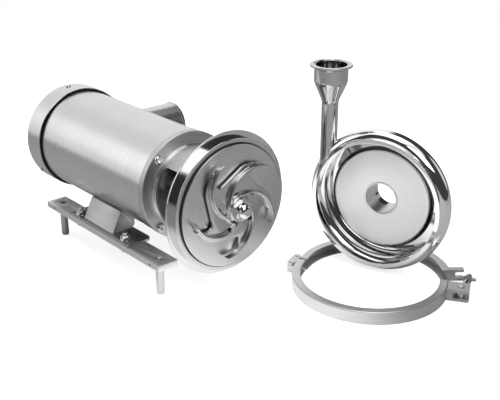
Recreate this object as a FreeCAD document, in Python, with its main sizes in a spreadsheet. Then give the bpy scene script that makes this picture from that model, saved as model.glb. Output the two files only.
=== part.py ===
import FreeCAD, Part
import Sketcher
import math
import os
import re

# Sanitary centrifugal pump, opened for cleaning: drive unit, casing and clamp.
# Every length is in millimetres and every angle in degrees.

os.makedirs("parts", exist_ok=True)
doc = FreeCAD.newDocument("CentrifugalPump")

# Driving dimensions: alias, value.
# Places along the shaft are counted from the front face of the backplate's rim.
SIZES = [
    # Layout on the floor
    ("axis_x", -101.0),
    ("face_y", -87.7),
    ("shaft_height", 146.0),
    ("casing_x", 211.0),
    ("casing_y", -89.0),
    ("casing_turn", 109.1),
    ("clamp_x", 177.0),
    ("clamp_y", -118.0),
    # Clearances
    ("slip_gap", 0.05),
    ("weld_gap", 0.05),
    ("face_gap", 0.3),
    # Motor
    ("shell_radius", 80.6),
    ("shell_wall", 3.2),
    ("shell_front", 120.0),
    ("shell_rear", 398.0),
    ("face_flange_radius", 82.5),
    ("face_flange_front", 89.0),
    ("face_flange_rear", 99.0),
    ("endbell_radius", 81.6),
    ("spigot_length", 10.0),
    ("endbell_web", 8.0),
    ("bolt_circle", 74.6),
    ("bolt_radius", 4.7),
    ("bolt_head_radius", 6.6),
    ("bolt_head_height", 5.0),
    ("bolt_length", 20.0),
    ("cover_radius", 85.2),
    ("cover_wall", 1.5),
    ("cover_front", 381.4),
    ("cover_rear", 423.8),
    ("cover_screw_place", 408.0),
    ("cover_screw_radius", 2.0),
    ("cover_screw_head", 4.2),
    ("cover_screw_first", 95.0),
    ("cover_eye", 6.0),
    ("vent_inner", 20.0),
    ("vent_outer", 68.0),
    ("vent_half", 2.6),
    ("vent_count", 18.0),
    ("stator_bore", 46.0),
    ("core_front", 160.0),
    ("core_rear", 330.0),
    ("winding_length", 27.0),
    ("air_gap", 0.5),
    # Conduit box
    ("box_radius", 33.0),
    ("box_wall", 2.5),
    ("box_place", 280.0),
    ("box_rise", 28.0),
    ("box_end", 112.0),
    ("box_cover_thickness", 4.0),
    ("entry_radius", 10.5),
    ("entry_hub_radius", 12.3),
    ("box_lug_place", 24.0),
    # Shaft line
    ("shaft_end_radius", 7.94),
    ("shaft_radius", 12.45),
    ("shaft_front", 45.0),
    ("shaft_shoulder", 96.0),
    ("tail_radius", 10.0),
    ("fan_seat_radius", 8.0),
    ("shaft_rear", 416.0),
    ("front_bearing_place", 105.0),
    ("front_bearing_radius", 26.0),
    ("rear_bearing_place", 380.5),
    ("rear_bearing_radius", 23.5),
    ("bearing_width", 15.0),
    ("race_height", 3.0),
    ("stub_radius", 12.7),
    ("stub_sleeve_radius", 15.0),
    ("stub_sleeve_front", 40.0),
    ("stub_rear", 90.0),
    ("impeller_seat_radius", 9.5),
    ("stub_thread_start", -30.0),
    ("stub_thread_radius", 8.0),
    ("stub_tip", -39.0),
    ("collar_radius", 24.0),
    ("collar_front", 68.0),
    ("collar_width", 14.0),
    ("fan_radius", 64.0),
    ("fan_front", 403.0),
    # Lantern between motor and backplate
    ("lantern_radius", 64.7),
    ("lantern_wall", 3.7),
    ("window_front", 22.0),
    ("window_rear", 80.0),
    ("window_half", 44.0),
    ("window_corner", 9.0),
    ("seat_flange_radius", 76.0),
    ("seat_flange_thickness", 6.0),
    ("ring_radius", 67.5),
    ("ring_height", 2.0),
    # Backplate
    ("plate_rim_radius", 105.5),
    ("plate_rim_edge", 2.2),
    ("plate_rim_root", 99.0),
    ("plate_back", 9.0),
    ("register_radius", 97.0),
    ("register_depth", 10.5),
    ("plate_front", 14.7),
    ("plate_lip_radius", 89.5),
    ("gasket_height", 3.1),
    ("gasket_width", 2.5),
    ("plate_thickness", 8.0),
    ("plate_seat_inner", 60.0),
    ("plate_hub_radius", 34.0),
    ("plate_hub_rear", 13.0),
    ("plate_bore", 17.5),
    ("seal_pocket_radius", 24.0),
    ("seal_pocket_depth", 10.7),
    # Mechanical seal
    ("seal_inner", 13.3),
    ("seal_flange_radius", 22.5),
    ("seal_face", 6.0),
    ("seal_ring_radius", 20.0),
    ("seal_ring_width", 3.0),
    ("bellows_radius", 19.0),
    ("bellows_wall", 1.5),
    ("bellows_fold", 2.6),
    # Impeller
    ("impeller_radius", 74.0),
    ("impeller_back", 17.4),
    ("impeller_disc", 5.2),
    ("impeller_edge", 2.6),
    ("hub_radius", 17.0),
    ("hub_front", 31.0),
    ("vane_inner_radius", 19.0),
    ("vane_thickness", 3.4),
    ("vane_bend_radius", 48.0),
    ("vane_centre_x", 28.6),
    ("vane_centre_z", -16.1),
    ("vane_inner_height", 28.6),
    ("vane_tip_height", 27.6),
    ("vane_count", 5.0),
    ("vane_first", 40.7),
    ("web_root", 41.0),
    ("scallop_knee", 64.9),
    ("scallop_knee_turn", 33.0),
    ("scallop_knee_round", 30.0),
    ("scallop_root", 45.6),
    ("scallop_root_turn", 91.5),
    ("scallop_root_round", 7.0),
    ("scallop_heel", 57.0),
    ("scallop_heel_turn", 89.5),
    ("scallop_heel_round", 12.0),
    ("scallop_start", 2.5),
    ("scallop_end", 80.0),
    ("balance_circle", 32.0),
    ("balance_turn", 59.3),
    ("balance_radius", 2.9),
    ("nut_flats", 25.0),
    ("nut_height", 6.5),
    ("nut_dome", 11.2),
    # Feet
    ("rail_top", 57.1),
    ("rail_thickness", 8.8),
    ("rail_outer", 89.0),
    ("rail_width", 35.0),
    ("rail_front", 46.5),
    ("rail_rear", 364.5),
    ("leg_inset", 22.0),
    ("leg_radius", 6.0),
    ("leg_travel", 25.0),
    ("set_screw_radius", 3.0),
    ("foot_thickness", 4.0),
    ("foot_outer", 88.0),
    ("foot_inner", 43.0),
    ("foot_front", 127.0),
    ("foot_rear", 293.0),
    ("side_plate_front", 175.7),
    ("side_plate_rear", 257.7),
    ("side_plate_thickness", 3.5),
    ("side_plate_bottom", 82.0),
    ("side_plate_top", 65.0),
    ("side_plate_height", 36.0),
    ("gusset_thickness", 4.0),
    ("gusset_inner", 41.0),
    ("foot_bolt_x", 78.0),
    ("foot_bolt_front", 146.0),
    ("foot_bolt_rear", 273.0),
    ("foot_bolt_radius", 4.0),
    ("foot_nut_flats", 13.0),
    ("foot_nut_height", 6.8),
    ("foot_washer_radius", 8.0),
    ("foot_washer_thickness", 1.6),
    # Casing
    ("rim_radius", 112.0),
    ("rim_lip_radius", 107.2),
    ("rim_peak_depth", 7.0),
    ("rim_back_depth", 12.6),
    ("barrel_radius", 100.0),
    ("casing_register", 97.3),
    ("casing_register_depth", 15.2),
    ("volute_radius", 94.0),
    ("casing_depth", 29.5),
    ("casing_wall", 3.0),
    ("shoulder_radius", 18.0),
    ("port_outer", 25.4),
    ("port_wall", 1.65),
    ("suction_tube_length", 30.0),
    ("ferrule_neck_length", 13.0),
    ("ferrule_radius", 32.0),
    ("ferrule_rim", 2.9),
    ("ferrule_taper", 3.6),
    ("tube_offset", 86.0),
    ("tube_depth", 19.7),
    ("passage_radius", 8.0),
    ("passage_depth", 21.3),
    ("tube_outer", 12.7),
    ("tube_wall", 1.65),
    ("tube_top", 140.0),
    ("reducer_straight", 5.0),
    ("reducer_length", 34.0),
    ("reducer_round", 20.0),
    ("neck_top", 192.5),
    # Clamp
    ("clamp_outer", 115.5),
    ("clamp_height", 20.0),
    ("clamp_lip", 103.0),
    ("clamp_groove", 112.6),
    ("clamp_lip_edge", 2.2),
    ("clamp_groove_edge", 5.4),
    ("clamp_split", 0.6),
    ("hinge_angle", 112.5),
    ("closure_angle", -51.0),
    ("clamp_open", 7.5),
    ("hinge_pin_circle", 123.0),
    ("hinge_pin_half", 5.5),
    ("hinge_pin_radius", 2.6),
    ("lug_half", 6.0),
    ("lug_low", 6.2),
    ("lug_high", 13.8),
    ("link_low", 2.2),
    ("link_high", 17.8),
    ("ear_tip", 147.0),
    ("ear_half", 13.0),
    ("ear_back", 7.0),
    ("ear_low", 1.0),
    ("ear_high", 19.0),
    ("pivot_circle", 134.0),
    ("bolt_slot_low", 5.2),
    ("bolt_slot_high", 14.8),
    ("bolt_slot_root", 124.0),
    ("swing_bolt_radius", 4.0),
    ("swing_bolt_length", 58.0),
    ("swing_eye_radius", 7.5),
    ("pivot_radius", 3.2),
    ("bolt_rest_turn", -9.0),
    ("fork_tip", 137.5),
    ("fork_half", 5.0),
    ("fork_angle", 4.3),
    ("wing_place", 46.5),
    ("wing_hub_radius", 7.0),
    ("wing_hub_half", 4.2),
    ("wing_reach", 12.5),
    ("wing_thickness", 3.0),
]

sheet = doc.addObject("Spreadsheet::Sheet", "Sizes")
for row, (alias, size) in enumerate(SIZES, start=1):
    sheet.set("A%d" % row, alias)
    sheet.set("B%d" % row, str(size))
    sheet.setAlias("B%d" % row, alias)
doc.recompute()
NAMES = {alias for alias, size in SIZES}


# Expressions

def bound(text):
    """Gives an expression in which each size's name points at its cell."""
    return re.sub(r"[a-z]\w*", lambda word: "Sizes." + word.group() if word.group() in NAMES else word.group(), text)


def number(text):
    """Gives the present value of an expression in sizes."""
    return float(sheet.evalExpression(bound(text)))


def turned(radial, tangential, angle):
    """Gives x and y of a point with its radial and tangential part at an angle."""
    x = "(%s) * cos(%s) - (%s) * sin(%s)" % (radial, angle, tangential, angle)
    y = "(%s) * sin(%s) + (%s) * cos(%s)" % (radial, angle, tangential, angle)
    return x, y


def placement(x, y, z, turn="0", axis="0; 0; 1", centre="0; 0; 0"):
    """Gives the expression of a placement: a shift and a turn about a centre."""
    return "placement(vector(%s; %s; %s); rotation(vector(%s); %s); vector(%s))" % (x, y, z, axis, turn, centre)


DRIVE = placement("axis_x", "face_y", "shaft_height")
FLOOR = placement("axis_x", "face_y", "0")
CASING = placement("axis_x + casing_x", "face_y + casing_y", "rim_radius", "casing_turn")


# Sketches and features

def new_body(label, place=DRIVE):
    """Starts a body with its own label and placement."""
    body = doc.addObject("PartDesign::Body", label)
    body.Label = label
    body.AllowCompound = True
    body.setExpression("Placement", bound(place))
    return body


def origin_feature(body, role):
    """Finds one of the body's own planes or axes."""
    return [feature for feature in body.Origin.OriginFeatures if feature.Role == role][0]


def new_sketch(body, label, plane, height):
    """Adds a sketch on one of the body's planes, at a height above it."""
    sketch = body.newObject("Sketcher::SketchObject", label)
    sketch.AttachmentSupport = [(origin_feature(body, plane), "")]
    sketch.MapMode = "FlatFace"
    if height != "0":
        sketch.setExpression(".AttachmentOffset.Base.z", bound(height))
    return sketch


def hold(sketch, kind, geometry, point, text):
    """Holds a point's distance from the sketch's origin to an expression."""
    if text == "0":
        axis = -2 if kind == "DistanceX" else -1
        sketch.addConstraint(Sketcher.Constraint("PointOnObject", geometry, point, axis))
        return
    index = sketch.addConstraint(Sketcher.Constraint(kind, -1, 1, geometry, point, number(text)))
    sketch.setExpression("Constraints[%d]" % index, bound(text))


def unit(start, end):
    """Gives the direction from one point to another."""
    step = end - start
    return step / step.Length


def outline(body, label, corners, plane="XY_Plane", height="0", axis=None):
    """Draws a closed outline of straight sides; a third value rounds a corner.

    An axis is ("up", x) or ("across", y): a line to revolve the outline about.
    """
    sketch = new_sketch(body, label, plane, height)
    points = [FreeCAD.Vector(number(corner[0]), number(corner[1]), 0) for corner in corners]
    rounds = [number(corner[2]) if len(corner) > 2 else 0.0 for corner in corners]
    count = len(corners)
    starts, ends = [], []
    for i in range(count):
        ahead = unit(points[i], points[(i + 1) % count])
        behind = unit(points[i], points[i - 1])
        reach = 0.0
        if rounds[i] > 0:
            reach = rounds[i] / math.tan(ahead.getAngle(behind) / 2)
        starts.append(points[i] + ahead * reach)
        ends.append(points[i] + behind * reach)
    sides = [sketch.addGeometry(Part.LineSegment(starts[i], ends[(i + 1) % count]), False) for i in range(count)]
    for i in range(count):
        before = sides[i - 1]
        after = sides[i]
        if rounds[i] == 0:
            sketch.addConstraint(Sketcher.Constraint("Coincident", before, 2, after, 1))
            hold(sketch, "DistanceX", after, 1, corners[i][0])
            hold(sketch, "DistanceY", after, 1, corners[i][1])
            continue
        ahead = unit(points[i], points[(i + 1) % count])
        behind = unit(points[i], points[i - 1])
        middle = (ahead + behind)
        middle.normalize()
        centre = points[i] + middle * (rounds[i] / math.sin(ahead.getAngle(behind) / 2))
        left_turn = behind.cross(ahead).z < 0
        first, last = (ends[i], starts[i]) if left_turn else (starts[i], ends[i])
        circle = Part.Circle(centre, FreeCAD.Vector(0, 0, 1), rounds[i])
        bend = sketch.addGeometry(Part.ArcOfCircle(circle, circle.parameter(first), circle.parameter(last)), False)
        sketch.addConstraint(Sketcher.Constraint("Tangent", before, 2, bend, 1 if left_turn else 2))
        sketch.addConstraint(Sketcher.Constraint("Tangent", bend, 2 if left_turn else 1, after, 1))
        index = sketch.addConstraint(Sketcher.Constraint("Radius", bend, rounds[i]))
        sketch.setExpression("Constraints[%d]" % index, bound(corners[i][2]))
        corner = sketch.addGeometry(Part.Point(points[i]), True)
        sketch.addConstraint(Sketcher.Constraint("PointOnObject", corner, 1, before))
        sketch.addConstraint(Sketcher.Constraint("PointOnObject", corner, 1, after))
        hold(sketch, "DistanceX", corner, 1, corners[i][0])
        hold(sketch, "DistanceY", corner, 1, corners[i][1])
    if axis:
        add_axis(sketch, axis)
    return sketch


def add_axis(sketch, axis):
    """Adds a construction line to revolve about."""
    way, text = axis
    place = number(text)
    if way == "up":
        ends = (FreeCAD.Vector(place, 0, 0), FreeCAD.Vector(place, 10, 0))
    else:
        ends = (FreeCAD.Vector(0, place, 0), FreeCAD.Vector(10, place, 0))
    line = sketch.addGeometry(Part.LineSegment(*ends), True)
    across, along = ("DistanceX", "DistanceY") if way == "up" else ("DistanceY", "DistanceX")
    hold(sketch, across, line, 1, text)
    hold(sketch, across, line, 2, text)
    hold(sketch, along, line, 1, "0")
    hold(sketch, along, line, 2, "10")


def circles(body, label, rounds, plane="XY_Plane", height="0"):
    """Draws circles, each given as x, y and radius."""
    sketch = new_sketch(body, label, plane, height)
    for x, y, radius in rounds:
        centre = FreeCAD.Vector(number(x), number(y), 0)
        ring = sketch.addGeometry(Part.Circle(centre, FreeCAD.Vector(0, 0, 1), number(radius)), False)
        hold(sketch, "DistanceX", ring, 3, x)
        hold(sketch, "DistanceY", ring, 3, y)
        index = sketch.addConstraint(Sketcher.Constraint("Radius", ring, number(radius)))
        sketch.setExpression("Constraints[%d]" % index, bound(radius))
    return sketch


def finish(body, feature, sketch):
    """Hides the sketch and makes the feature the body's tip."""
    sketch.Visibility = False
    body.Tip = feature
    return feature


def revolve(body, sketch, label, cut=False, own_axis=False, sweep="360"):
    """Turns a sketch about its upright axis or its construction line."""
    feature = body.newObject("PartDesign::Groove" if cut else "PartDesign::Revolution", label)
    feature.Profile = sketch
    feature.ReferenceAxis = (sketch, ["Axis0" if own_axis else "V_Axis"])
    feature.Angle = number(sweep)
    if sweep != "360":
        feature.setExpression("Angle", bound(sweep))
        feature.Midplane = True
    return finish(body, feature, sketch)


def extrude(body, sketch, label, length, cut=False, back=False, symmetric=False):
    """Pads or pockets a sketch by a length."""
    feature = body.newObject("PartDesign::Pocket" if cut else "PartDesign::Pad", label)
    feature.Profile = sketch
    feature.Length = number(length)
    feature.setExpression("Length", bound(length))
    feature.Reversed = back
    if symmetric:
        feature.SideType = "Symmetric"
    return finish(body, feature, sketch)


def around(body, features, label, count, role="Y_Axis"):
    """Repeats features evenly about one of the body's axes."""
    pattern = body.newObject("PartDesign::PolarPattern", label)
    pattern.Axis = (origin_feature(body, role), [""])
    pattern.Angle = 360
    pattern.Originals = features or [body.Tip]
    if not features:
        pattern.TransformMode = "Whole shape"
    pattern.Occurrences = int(number(count))
    pattern.setExpression("Occurrences", bound(count))
    body.Tip = pattern
    return pattern


def mirrored(body, label, role):
    """Mirrors the whole body in one of its planes."""
    mirror = body.newObject("PartDesign::Mirrored", label)
    mirror.Originals = [body.Tip]
    mirror.TransformMode = "Whole shape"
    mirror.MirrorPlane = (origin_feature(body, role), [""])
    body.Tip = mirror
    return mirror


def repeated(body, label, step, role="Y_Axis"):
    """Repeats the whole body once more along one of its axes."""
    pattern = body.newObject("PartDesign::LinearPattern", label)
    pattern.Originals = [body.Tip]
    pattern.TransformMode = "Whole shape"
    pattern.Direction = (origin_feature(body, role), [""])
    pattern.Length = number(step)
    pattern.setExpression("Length", bound(step))
    pattern.Occurrences = 2
    body.Tip = pattern
    return pattern


def turned_part(label, corners, place=DRIVE, plane="XY_Plane"):
    """Makes a body that is one outline turned about its own upright axis."""
    body = new_body(label, place)
    revolve(body, outline(body, label + "_outline", corners, plane), label + "_turned")
    return body


def hexagon(across_flats, x="0", y="0"):
    """Gives the corners of a hexagon with two flats upright."""
    half = "(%s) / 2" % across_flats
    corner = "(%s) / sqrt(3)" % across_flats
    return [
        ("%s + %s" % (x, half), "%s + (%s) / 2" % (y, corner)),
        (x, "%s + %s" % (y, corner)),
        ("%s - %s" % (x, half), "%s + (%s) / 2" % (y, corner)),
        ("%s - %s" % (x, half), "%s - (%s) / 2" % (y, corner)),
        (x, "%s - %s" % (y, corner)),
        ("%s + %s" % (x, half), "%s - (%s) / 2" % (y, corner)),
    ]


# Motor shell, end bells and fan cover

SHELL_BORE = "shell_radius - shell_wall"
SPIGOT = "shell_radius - shell_wall - slip_gap"
COVER_BORE = "cover_radius - cover_wall"
BELL_RING_INNER = "bolt_circle - bolt_radius - 3"

shell = new_body("motor_shell")
revolve(shell, outline(shell, "shell_wall_outline", [
    (SHELL_BORE, "shell_front"),
    ("shell_radius", "shell_front"),
    ("shell_radius", "shell_rear"),
    (SHELL_BORE, "shell_rear"),
]), "shell_wall_turned")
extrude(shell, circles(shell, "lead_hole", [("box_place", "box_rise", "9")], "YZ_Plane"),
        "lead_hole_cut", "shell_radius + 10", cut=True, back=True)

front_bell = new_body("front_endbell")
revolve(front_bell, outline(front_bell, "front_bell_outline", [
    ("shaft_radius + 1", "face_flange_rear"),
    ("endbell_radius", "face_flange_rear", "0.8"),
    ("endbell_radius", "shell_front", "0.8"),
    (SPIGOT, "shell_front"),
    (SPIGOT, "shell_front + spigot_length"),
    (BELL_RING_INNER, "shell_front + spigot_length"),
    (BELL_RING_INNER, "face_flange_rear + endbell_web"),
    ("front_bearing_radius + 7", "face_flange_rear + endbell_web"),
    ("front_bearing_radius + 7", "front_bearing_place + bearing_width + 1"),
    ("front_bearing_radius + slip_gap", "front_bearing_place + bearing_width + 1"),
    ("front_bearing_radius + slip_gap", "front_bearing_place"),
    ("shaft_radius + 1", "front_bearing_place"),
]), "front_bell_turned")
extrude(front_bell, circles(front_bell, "front_bell_hole", [
    ("bolt_circle * cos(45)", "bolt_circle * sin(45)", "bolt_radius + slip_gap"),
], "XZ_Plane", "-face_flange_rear"), "front_bell_hole_cut", "bolt_length", cut=True)
around(front_bell, [front_bell.Tip], "front_bell_holes", "4")

rear_bell = new_body("rear_endbell")
revolve(rear_bell, outline(rear_bell, "rear_bell_outline", [
    ("tail_radius + 1", "rear_bearing_place + bearing_width"),
    ("tail_radius + 1", "shell_rear + 4"),
    ("shell_radius", "shell_rear + 4"),
    ("shell_radius", "shell_rear"),
    (SPIGOT, "shell_rear"),
    (SPIGOT, "shell_rear - spigot_length"),
    ("shell_radius - 9", "shell_rear - spigot_length"),
    ("shell_radius - 9", "shell_rear - 3"),
    ("rear_bearing_radius + 7", "shell_rear - 3"),
    ("rear_bearing_radius + 7", "rear_bearing_place"),
    ("rear_bearing_radius + slip_gap", "rear_bearing_place"),
    ("rear_bearing_radius + slip_gap", "rear_bearing_place + bearing_width"),
]), "rear_bell_turned")
extrude(rear_bell, outline(rear_bell, "cover_lug", [
    ("fan_radius + 5", "-8"),
    ("cover_radius - 2", "-8"),
    ("cover_radius - 2", "8"),
    ("fan_radius + 5", "8"),
], "XZ_Plane", "-shell_rear - 4"), "cover_lug_pad", "cover_screw_place - shell_rear + 2", back=True)
around(rear_bell, [rear_bell.Tip], "cover_lugs", "3")
extrude(rear_bell, circles(rear_bell, "lug_hole", [
    ("cover_screw_place", "0", "cover_screw_radius + slip_gap"),
], "YZ_Plane", "fan_radius + 8"), "lug_hole_cut", "30", cut=True, back=True)
around(rear_bell, [rear_bell.Tip], "lug_holes", "3")
rear_bell.setExpression("Placement", bound(placement(
    "axis_x", "face_y", "shaft_height", "-cover_screw_first", "0; 1; 0")))

cover = new_body("fan_cover", placement("axis_x", "face_y", "shaft_height", "-cover_screw_first", "0; 1; 0"))
revolve(cover, outline(cover, "cover_outline", [
    (COVER_BORE, "cover_front"),
    ("cover_radius", "cover_front"),
    ("cover_radius", "cover_rear", "5"),
    ("cover_eye", "cover_rear"),
    ("cover_eye", "cover_rear - cover_wall"),
    (COVER_BORE, "cover_rear - cover_wall", "3.5"),
]), "cover_turned")
extrude(cover, outline(cover, "vent_slot", [
    ("vent_inner", "-vent_half", "vent_half - 0.01"),
    ("vent_outer", "-vent_half", "vent_half - 0.01"),
    ("vent_outer", "vent_half", "vent_half - 0.01"),
    ("vent_inner", "vent_half", "vent_half - 0.01"),
], "XZ_Plane", "-cover_rear - 1"), "vent_slot_cut", "cover_wall + 4", cut=True, back=True)
around(cover, [cover.Tip], "vent_slots", "vent_count")
extrude(cover, circles(cover, "cover_screw_hole", [
    ("cover_screw_place", "0", "cover_screw_radius + slip_gap"),
], "YZ_Plane", "fan_radius + 10"), "cover_screw_hole_cut", "30", cut=True, back=True)
around(cover, [cover.Tip], "cover_screw_holes", "3")

cover_screws = new_body("fan_cover_screws", placement(
    "axis_x", "face_y", "shaft_height", "-cover_screw_first", "0; 1; 0"))
revolve(cover_screws, outline(cover_screws, "cover_screw_outline", [
    ("cover_radius - 12", "cover_screw_place"),
    ("cover_radius - 12", "cover_screw_place + cover_screw_radius"),
    ("cover_radius", "cover_screw_place + cover_screw_radius"),
    ("cover_radius", "cover_screw_place + cover_screw_head"),
    ("cover_radius + 2.6", "cover_screw_place + cover_screw_head", "2.3"),
    ("cover_radius + 2.6", "cover_screw_place"),
], axis=("across", "cover_screw_place")), "cover_screw_turned", own_axis=True)
around(cover_screws, [], "cover_screw_set", "3")

# Conduit box on the far side of the shell

box = new_body("conduit_box")
extrude(box, circles(box, "box_wall_rings", [
    ("box_place", "box_rise", "box_radius"),
    ("box_place", "box_rise", "box_radius - box_wall"),
], "YZ_Plane"), "box_wall_pad", "box_end")
for lug_label, lug_side in (("box_lug_rear", "1"), ("box_lug_front", "-1")):
    extrude(box, outline(box, lug_label, [
        ("box_place + (%s) * box_lug_place" % lug_side, "box_rise - 5"),
        ("box_place + (%s) * (box_radius - box_wall / 2)" % lug_side, "box_rise - 5"),
        ("box_place + (%s) * (box_radius - box_wall / 2)" % lug_side, "box_rise + 5"),
        ("box_place + (%s) * box_lug_place" % lug_side, "box_rise + 5"),
    ], "YZ_Plane", "box_end - 18"), lug_label + "_pad", "18")
ENTRY_X = "box_end - entry_hub_radius"
extrude(box, circles(box, "entry_hub", [
    (ENTRY_X, "box_place", "entry_hub_radius"),
], "XY_Plane", "box_rise - box_radius - 6"), "entry_hub_pad", "12")
extrude(box, circles(box, "entry_hole", [
    (ENTRY_X, "box_place", "entry_radius"),
], "XY_Plane", "box_rise - box_radius - 7"), "entry_hole_cut", "20", cut=True, back=True)
revolve(box, outline(box, "shell_relief", [
    ("0", "box_place - box_radius - 5"),
    ("shell_radius + weld_gap", "box_place - box_radius - 5"),
    ("shell_radius + weld_gap", "box_place + box_radius + 5"),
    ("0", "box_place + box_radius + 5"),
]), "shell_relief_cut", cut=True)
LUG_SCREW = "box_place + box_lug_place + 3.2"
LUG_SCREW_FRONT = "box_place - box_lug_place - 3.2"
extrude(box, circles(box, "box_screw_holes", [
    (LUG_SCREW, "box_rise", "1.55"),
    (LUG_SCREW_FRONT, "box_rise", "1.55"),
], "YZ_Plane", "box_end - 10"), "box_screw_holes_cut", "20", cut=True, back=True)

box_cover = new_body("conduit_box_cover")
extrude(box_cover, circles(box_cover, "box_cover_disc", [
    ("box_place", "box_rise", "box_radius + 0.8"),
    (LUG_SCREW, "box_rise", "1.65"),
    (LUG_SCREW_FRONT, "box_rise", "1.65"),
], "YZ_Plane", "box_end"), "box_cover_pad", "box_cover_thickness")

box_screws = new_body("conduit_cover_screws")
revolve(box_screws, outline(box_screws, "box_screw_outline", [
    ("box_end - 8", LUG_SCREW),
    ("box_end - 8", LUG_SCREW + " + 1.5"),
    ("box_end + box_cover_thickness", LUG_SCREW + " + 1.5"),
    ("box_end + box_cover_thickness", LUG_SCREW + " + 3"),
    ("box_end + box_cover_thickness + 2", LUG_SCREW + " + 3", "1.5"),
    ("box_end + box_cover_thickness + 2", LUG_SCREW),
], height="box_rise", axis=("across", LUG_SCREW)), "box_screw_turned", own_axis=True)
repeated(box_screws, "box_screw_pair", "2 * box_lug_place + 6.4")
box_screws.Tip.Reversed = True

# Stator, rotor and bearings

turned_part("stator_core", [
    ("stator_bore", "core_front"),
    (SPIGOT, "core_front"),
    (SPIGOT, "core_rear"),
    ("stator_bore", "core_rear"),
])
windings = new_body("stator_windings")
for end_label, near, far in (
    ("front_winding", "core_front", "core_front - winding_length"),
    ("rear_winding", "core_rear", "core_rear + winding_length"),
):
    revolve(windings, outline(windings, end_label, [
        ("stator_bore + 4", near),
        ("shell_radius - 9", near),
        ("shell_radius - 9", far, "7"),
        ("stator_bore + 4", far, "7"),
    ]), end_label + "_turned")

turned_part("rotor_core", [
    ("shaft_radius + slip_gap", "core_front - 5"),
    ("stator_bore - air_gap", "core_front - 5"),
    ("stator_bore - air_gap", "core_rear + 5"),
    ("shaft_radius + slip_gap", "core_rear + 5"),
])
turned_part("motor_shaft", [
    ("0", "shaft_front"),
    ("shaft_end_radius - 1", "shaft_front"),
    ("shaft_end_radius", "shaft_front + 1"),
    ("shaft_end_radius", "shaft_shoulder"),
    ("shaft_radius", "shaft_shoulder"),
    ("shaft_radius", "core_rear + 12"),
    ("tail_radius", "core_rear + 12"),
    ("tail_radius", "rear_bearing_place + bearing_width"),
    ("fan_seat_radius", "rear_bearing_place + bearing_width"),
    ("fan_seat_radius", "shaft_rear"),
    ("0", "shaft_rear"),
])
for end_label, bore, place, outside in (
    ("front_bearing", "shaft_radius", "front_bearing_place", "front_bearing_radius"),
    ("rear_bearing", "tail_radius", "rear_bearing_place", "rear_bearing_radius"),
):
    inner_top = bore + " + race_height"
    turned_part(end_label + "_inner", [
        (bore + " + slip_gap", place),
        (inner_top, place),
        (inner_top, place + " + bearing_width"),
        (bore + " + slip_gap", place + " + bearing_width"),
    ])
    turned_part(end_label + "_outer", [
        (inner_top + " + 0.4", place),
        (outside, place),
        (outside, place + " + bearing_width"),
        (inner_top + " + 0.4", place + " + bearing_width"),
        (inner_top + " + 0.4", place + " + bearing_width - 1.2"),
        (outside + " - race_height", place + " + bearing_width - 1.2"),
        (outside + " - race_height", place + " + 1.2"),
        (inner_top + " + 0.4", place + " + 1.2"),
    ])

fan = new_body("cooling_fan")
revolve(fan, outline(fan, "fan_hub_outline", [
    ("fan_seat_radius + slip_gap", "fan_front"),
    ("fan_radius", "fan_front"),
    ("fan_radius", "fan_front + 2"),
    ("16", "fan_front + 2"),
    ("16", "fan_front + 12"),
    ("fan_seat_radius + slip_gap", "fan_front + 12"),
]), "fan_hub_turned")
extrude(fan, outline(fan, "fan_blade", [
    ("15", "-1.2"),
    ("fan_radius", "-1.2"),
    ("fan_radius", "1.2"),
    ("15", "1.2"),
], "XZ_Plane", "-fan_front - 2"), "fan_blade_pad", "13", back=True)
around(fan, [fan.Tip], "fan_blades", "9")

# Stub shaft and its clamping collar

turned_part("stub_shaft", [
    ("0", "stub_tip"),
    ("stub_thread_radius - 1", "stub_tip"),
    ("stub_thread_radius", "stub_tip + 1"),
    ("stub_thread_radius", "stub_thread_start"),
    ("impeller_seat_radius", "stub_thread_start"),
    ("impeller_seat_radius", "-impeller_back"),
    ("stub_radius", "-impeller_back"),
    ("stub_radius", "stub_sleeve_front - 2"),
    ("stub_sleeve_radius", "stub_sleeve_front"),
    ("stub_sleeve_radius", "stub_rear"),
    ("shaft_end_radius + slip_gap", "stub_rear"),
    ("shaft_end_radius + slip_gap", "shaft_front - slip_gap"),
    ("0", "shaft_front - slip_gap"),
])
collar = new_body("shaft_collar")
revolve(collar, outline(collar, "collar_outline", [
    ("stub_sleeve_radius + slip_gap", "collar_front"),
    ("collar_radius", "collar_front", "0.8"),
    ("collar_radius", "collar_front + collar_width", "0.8"),
    ("stub_sleeve_radius + slip_gap", "collar_front + collar_width"),
]), "collar_turned")
extrude(collar, outline(collar, "collar_split", [
    ("-1", "stub_radius"),
    ("1", "stub_radius"),
    ("1", "collar_radius + 2"),
    ("-1", "collar_radius + 2"),
], "XZ_Plane", "-collar_front + 1"), "collar_split_cut", "collar_width + 2", cut=True)
extrude(collar, circles(collar, "collar_screw_hole", [
    ("collar_front + collar_width / 2", "(stub_sleeve_radius + collar_radius) / 2", "2.05"),
], "YZ_Plane"), "collar_screw_hole_cut", "30", cut=True, symmetric=True)
collar_screw = new_body("collar_screw")
extrude(collar_screw, circles(collar_screw, "collar_screw_round", [
    ("collar_front + collar_width / 2", "(stub_sleeve_radius + collar_radius) / 2", "2"),
], "YZ_Plane"), "collar_screw_pad", "22", symmetric=True)

# Lantern adapter with its bolts

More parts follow.
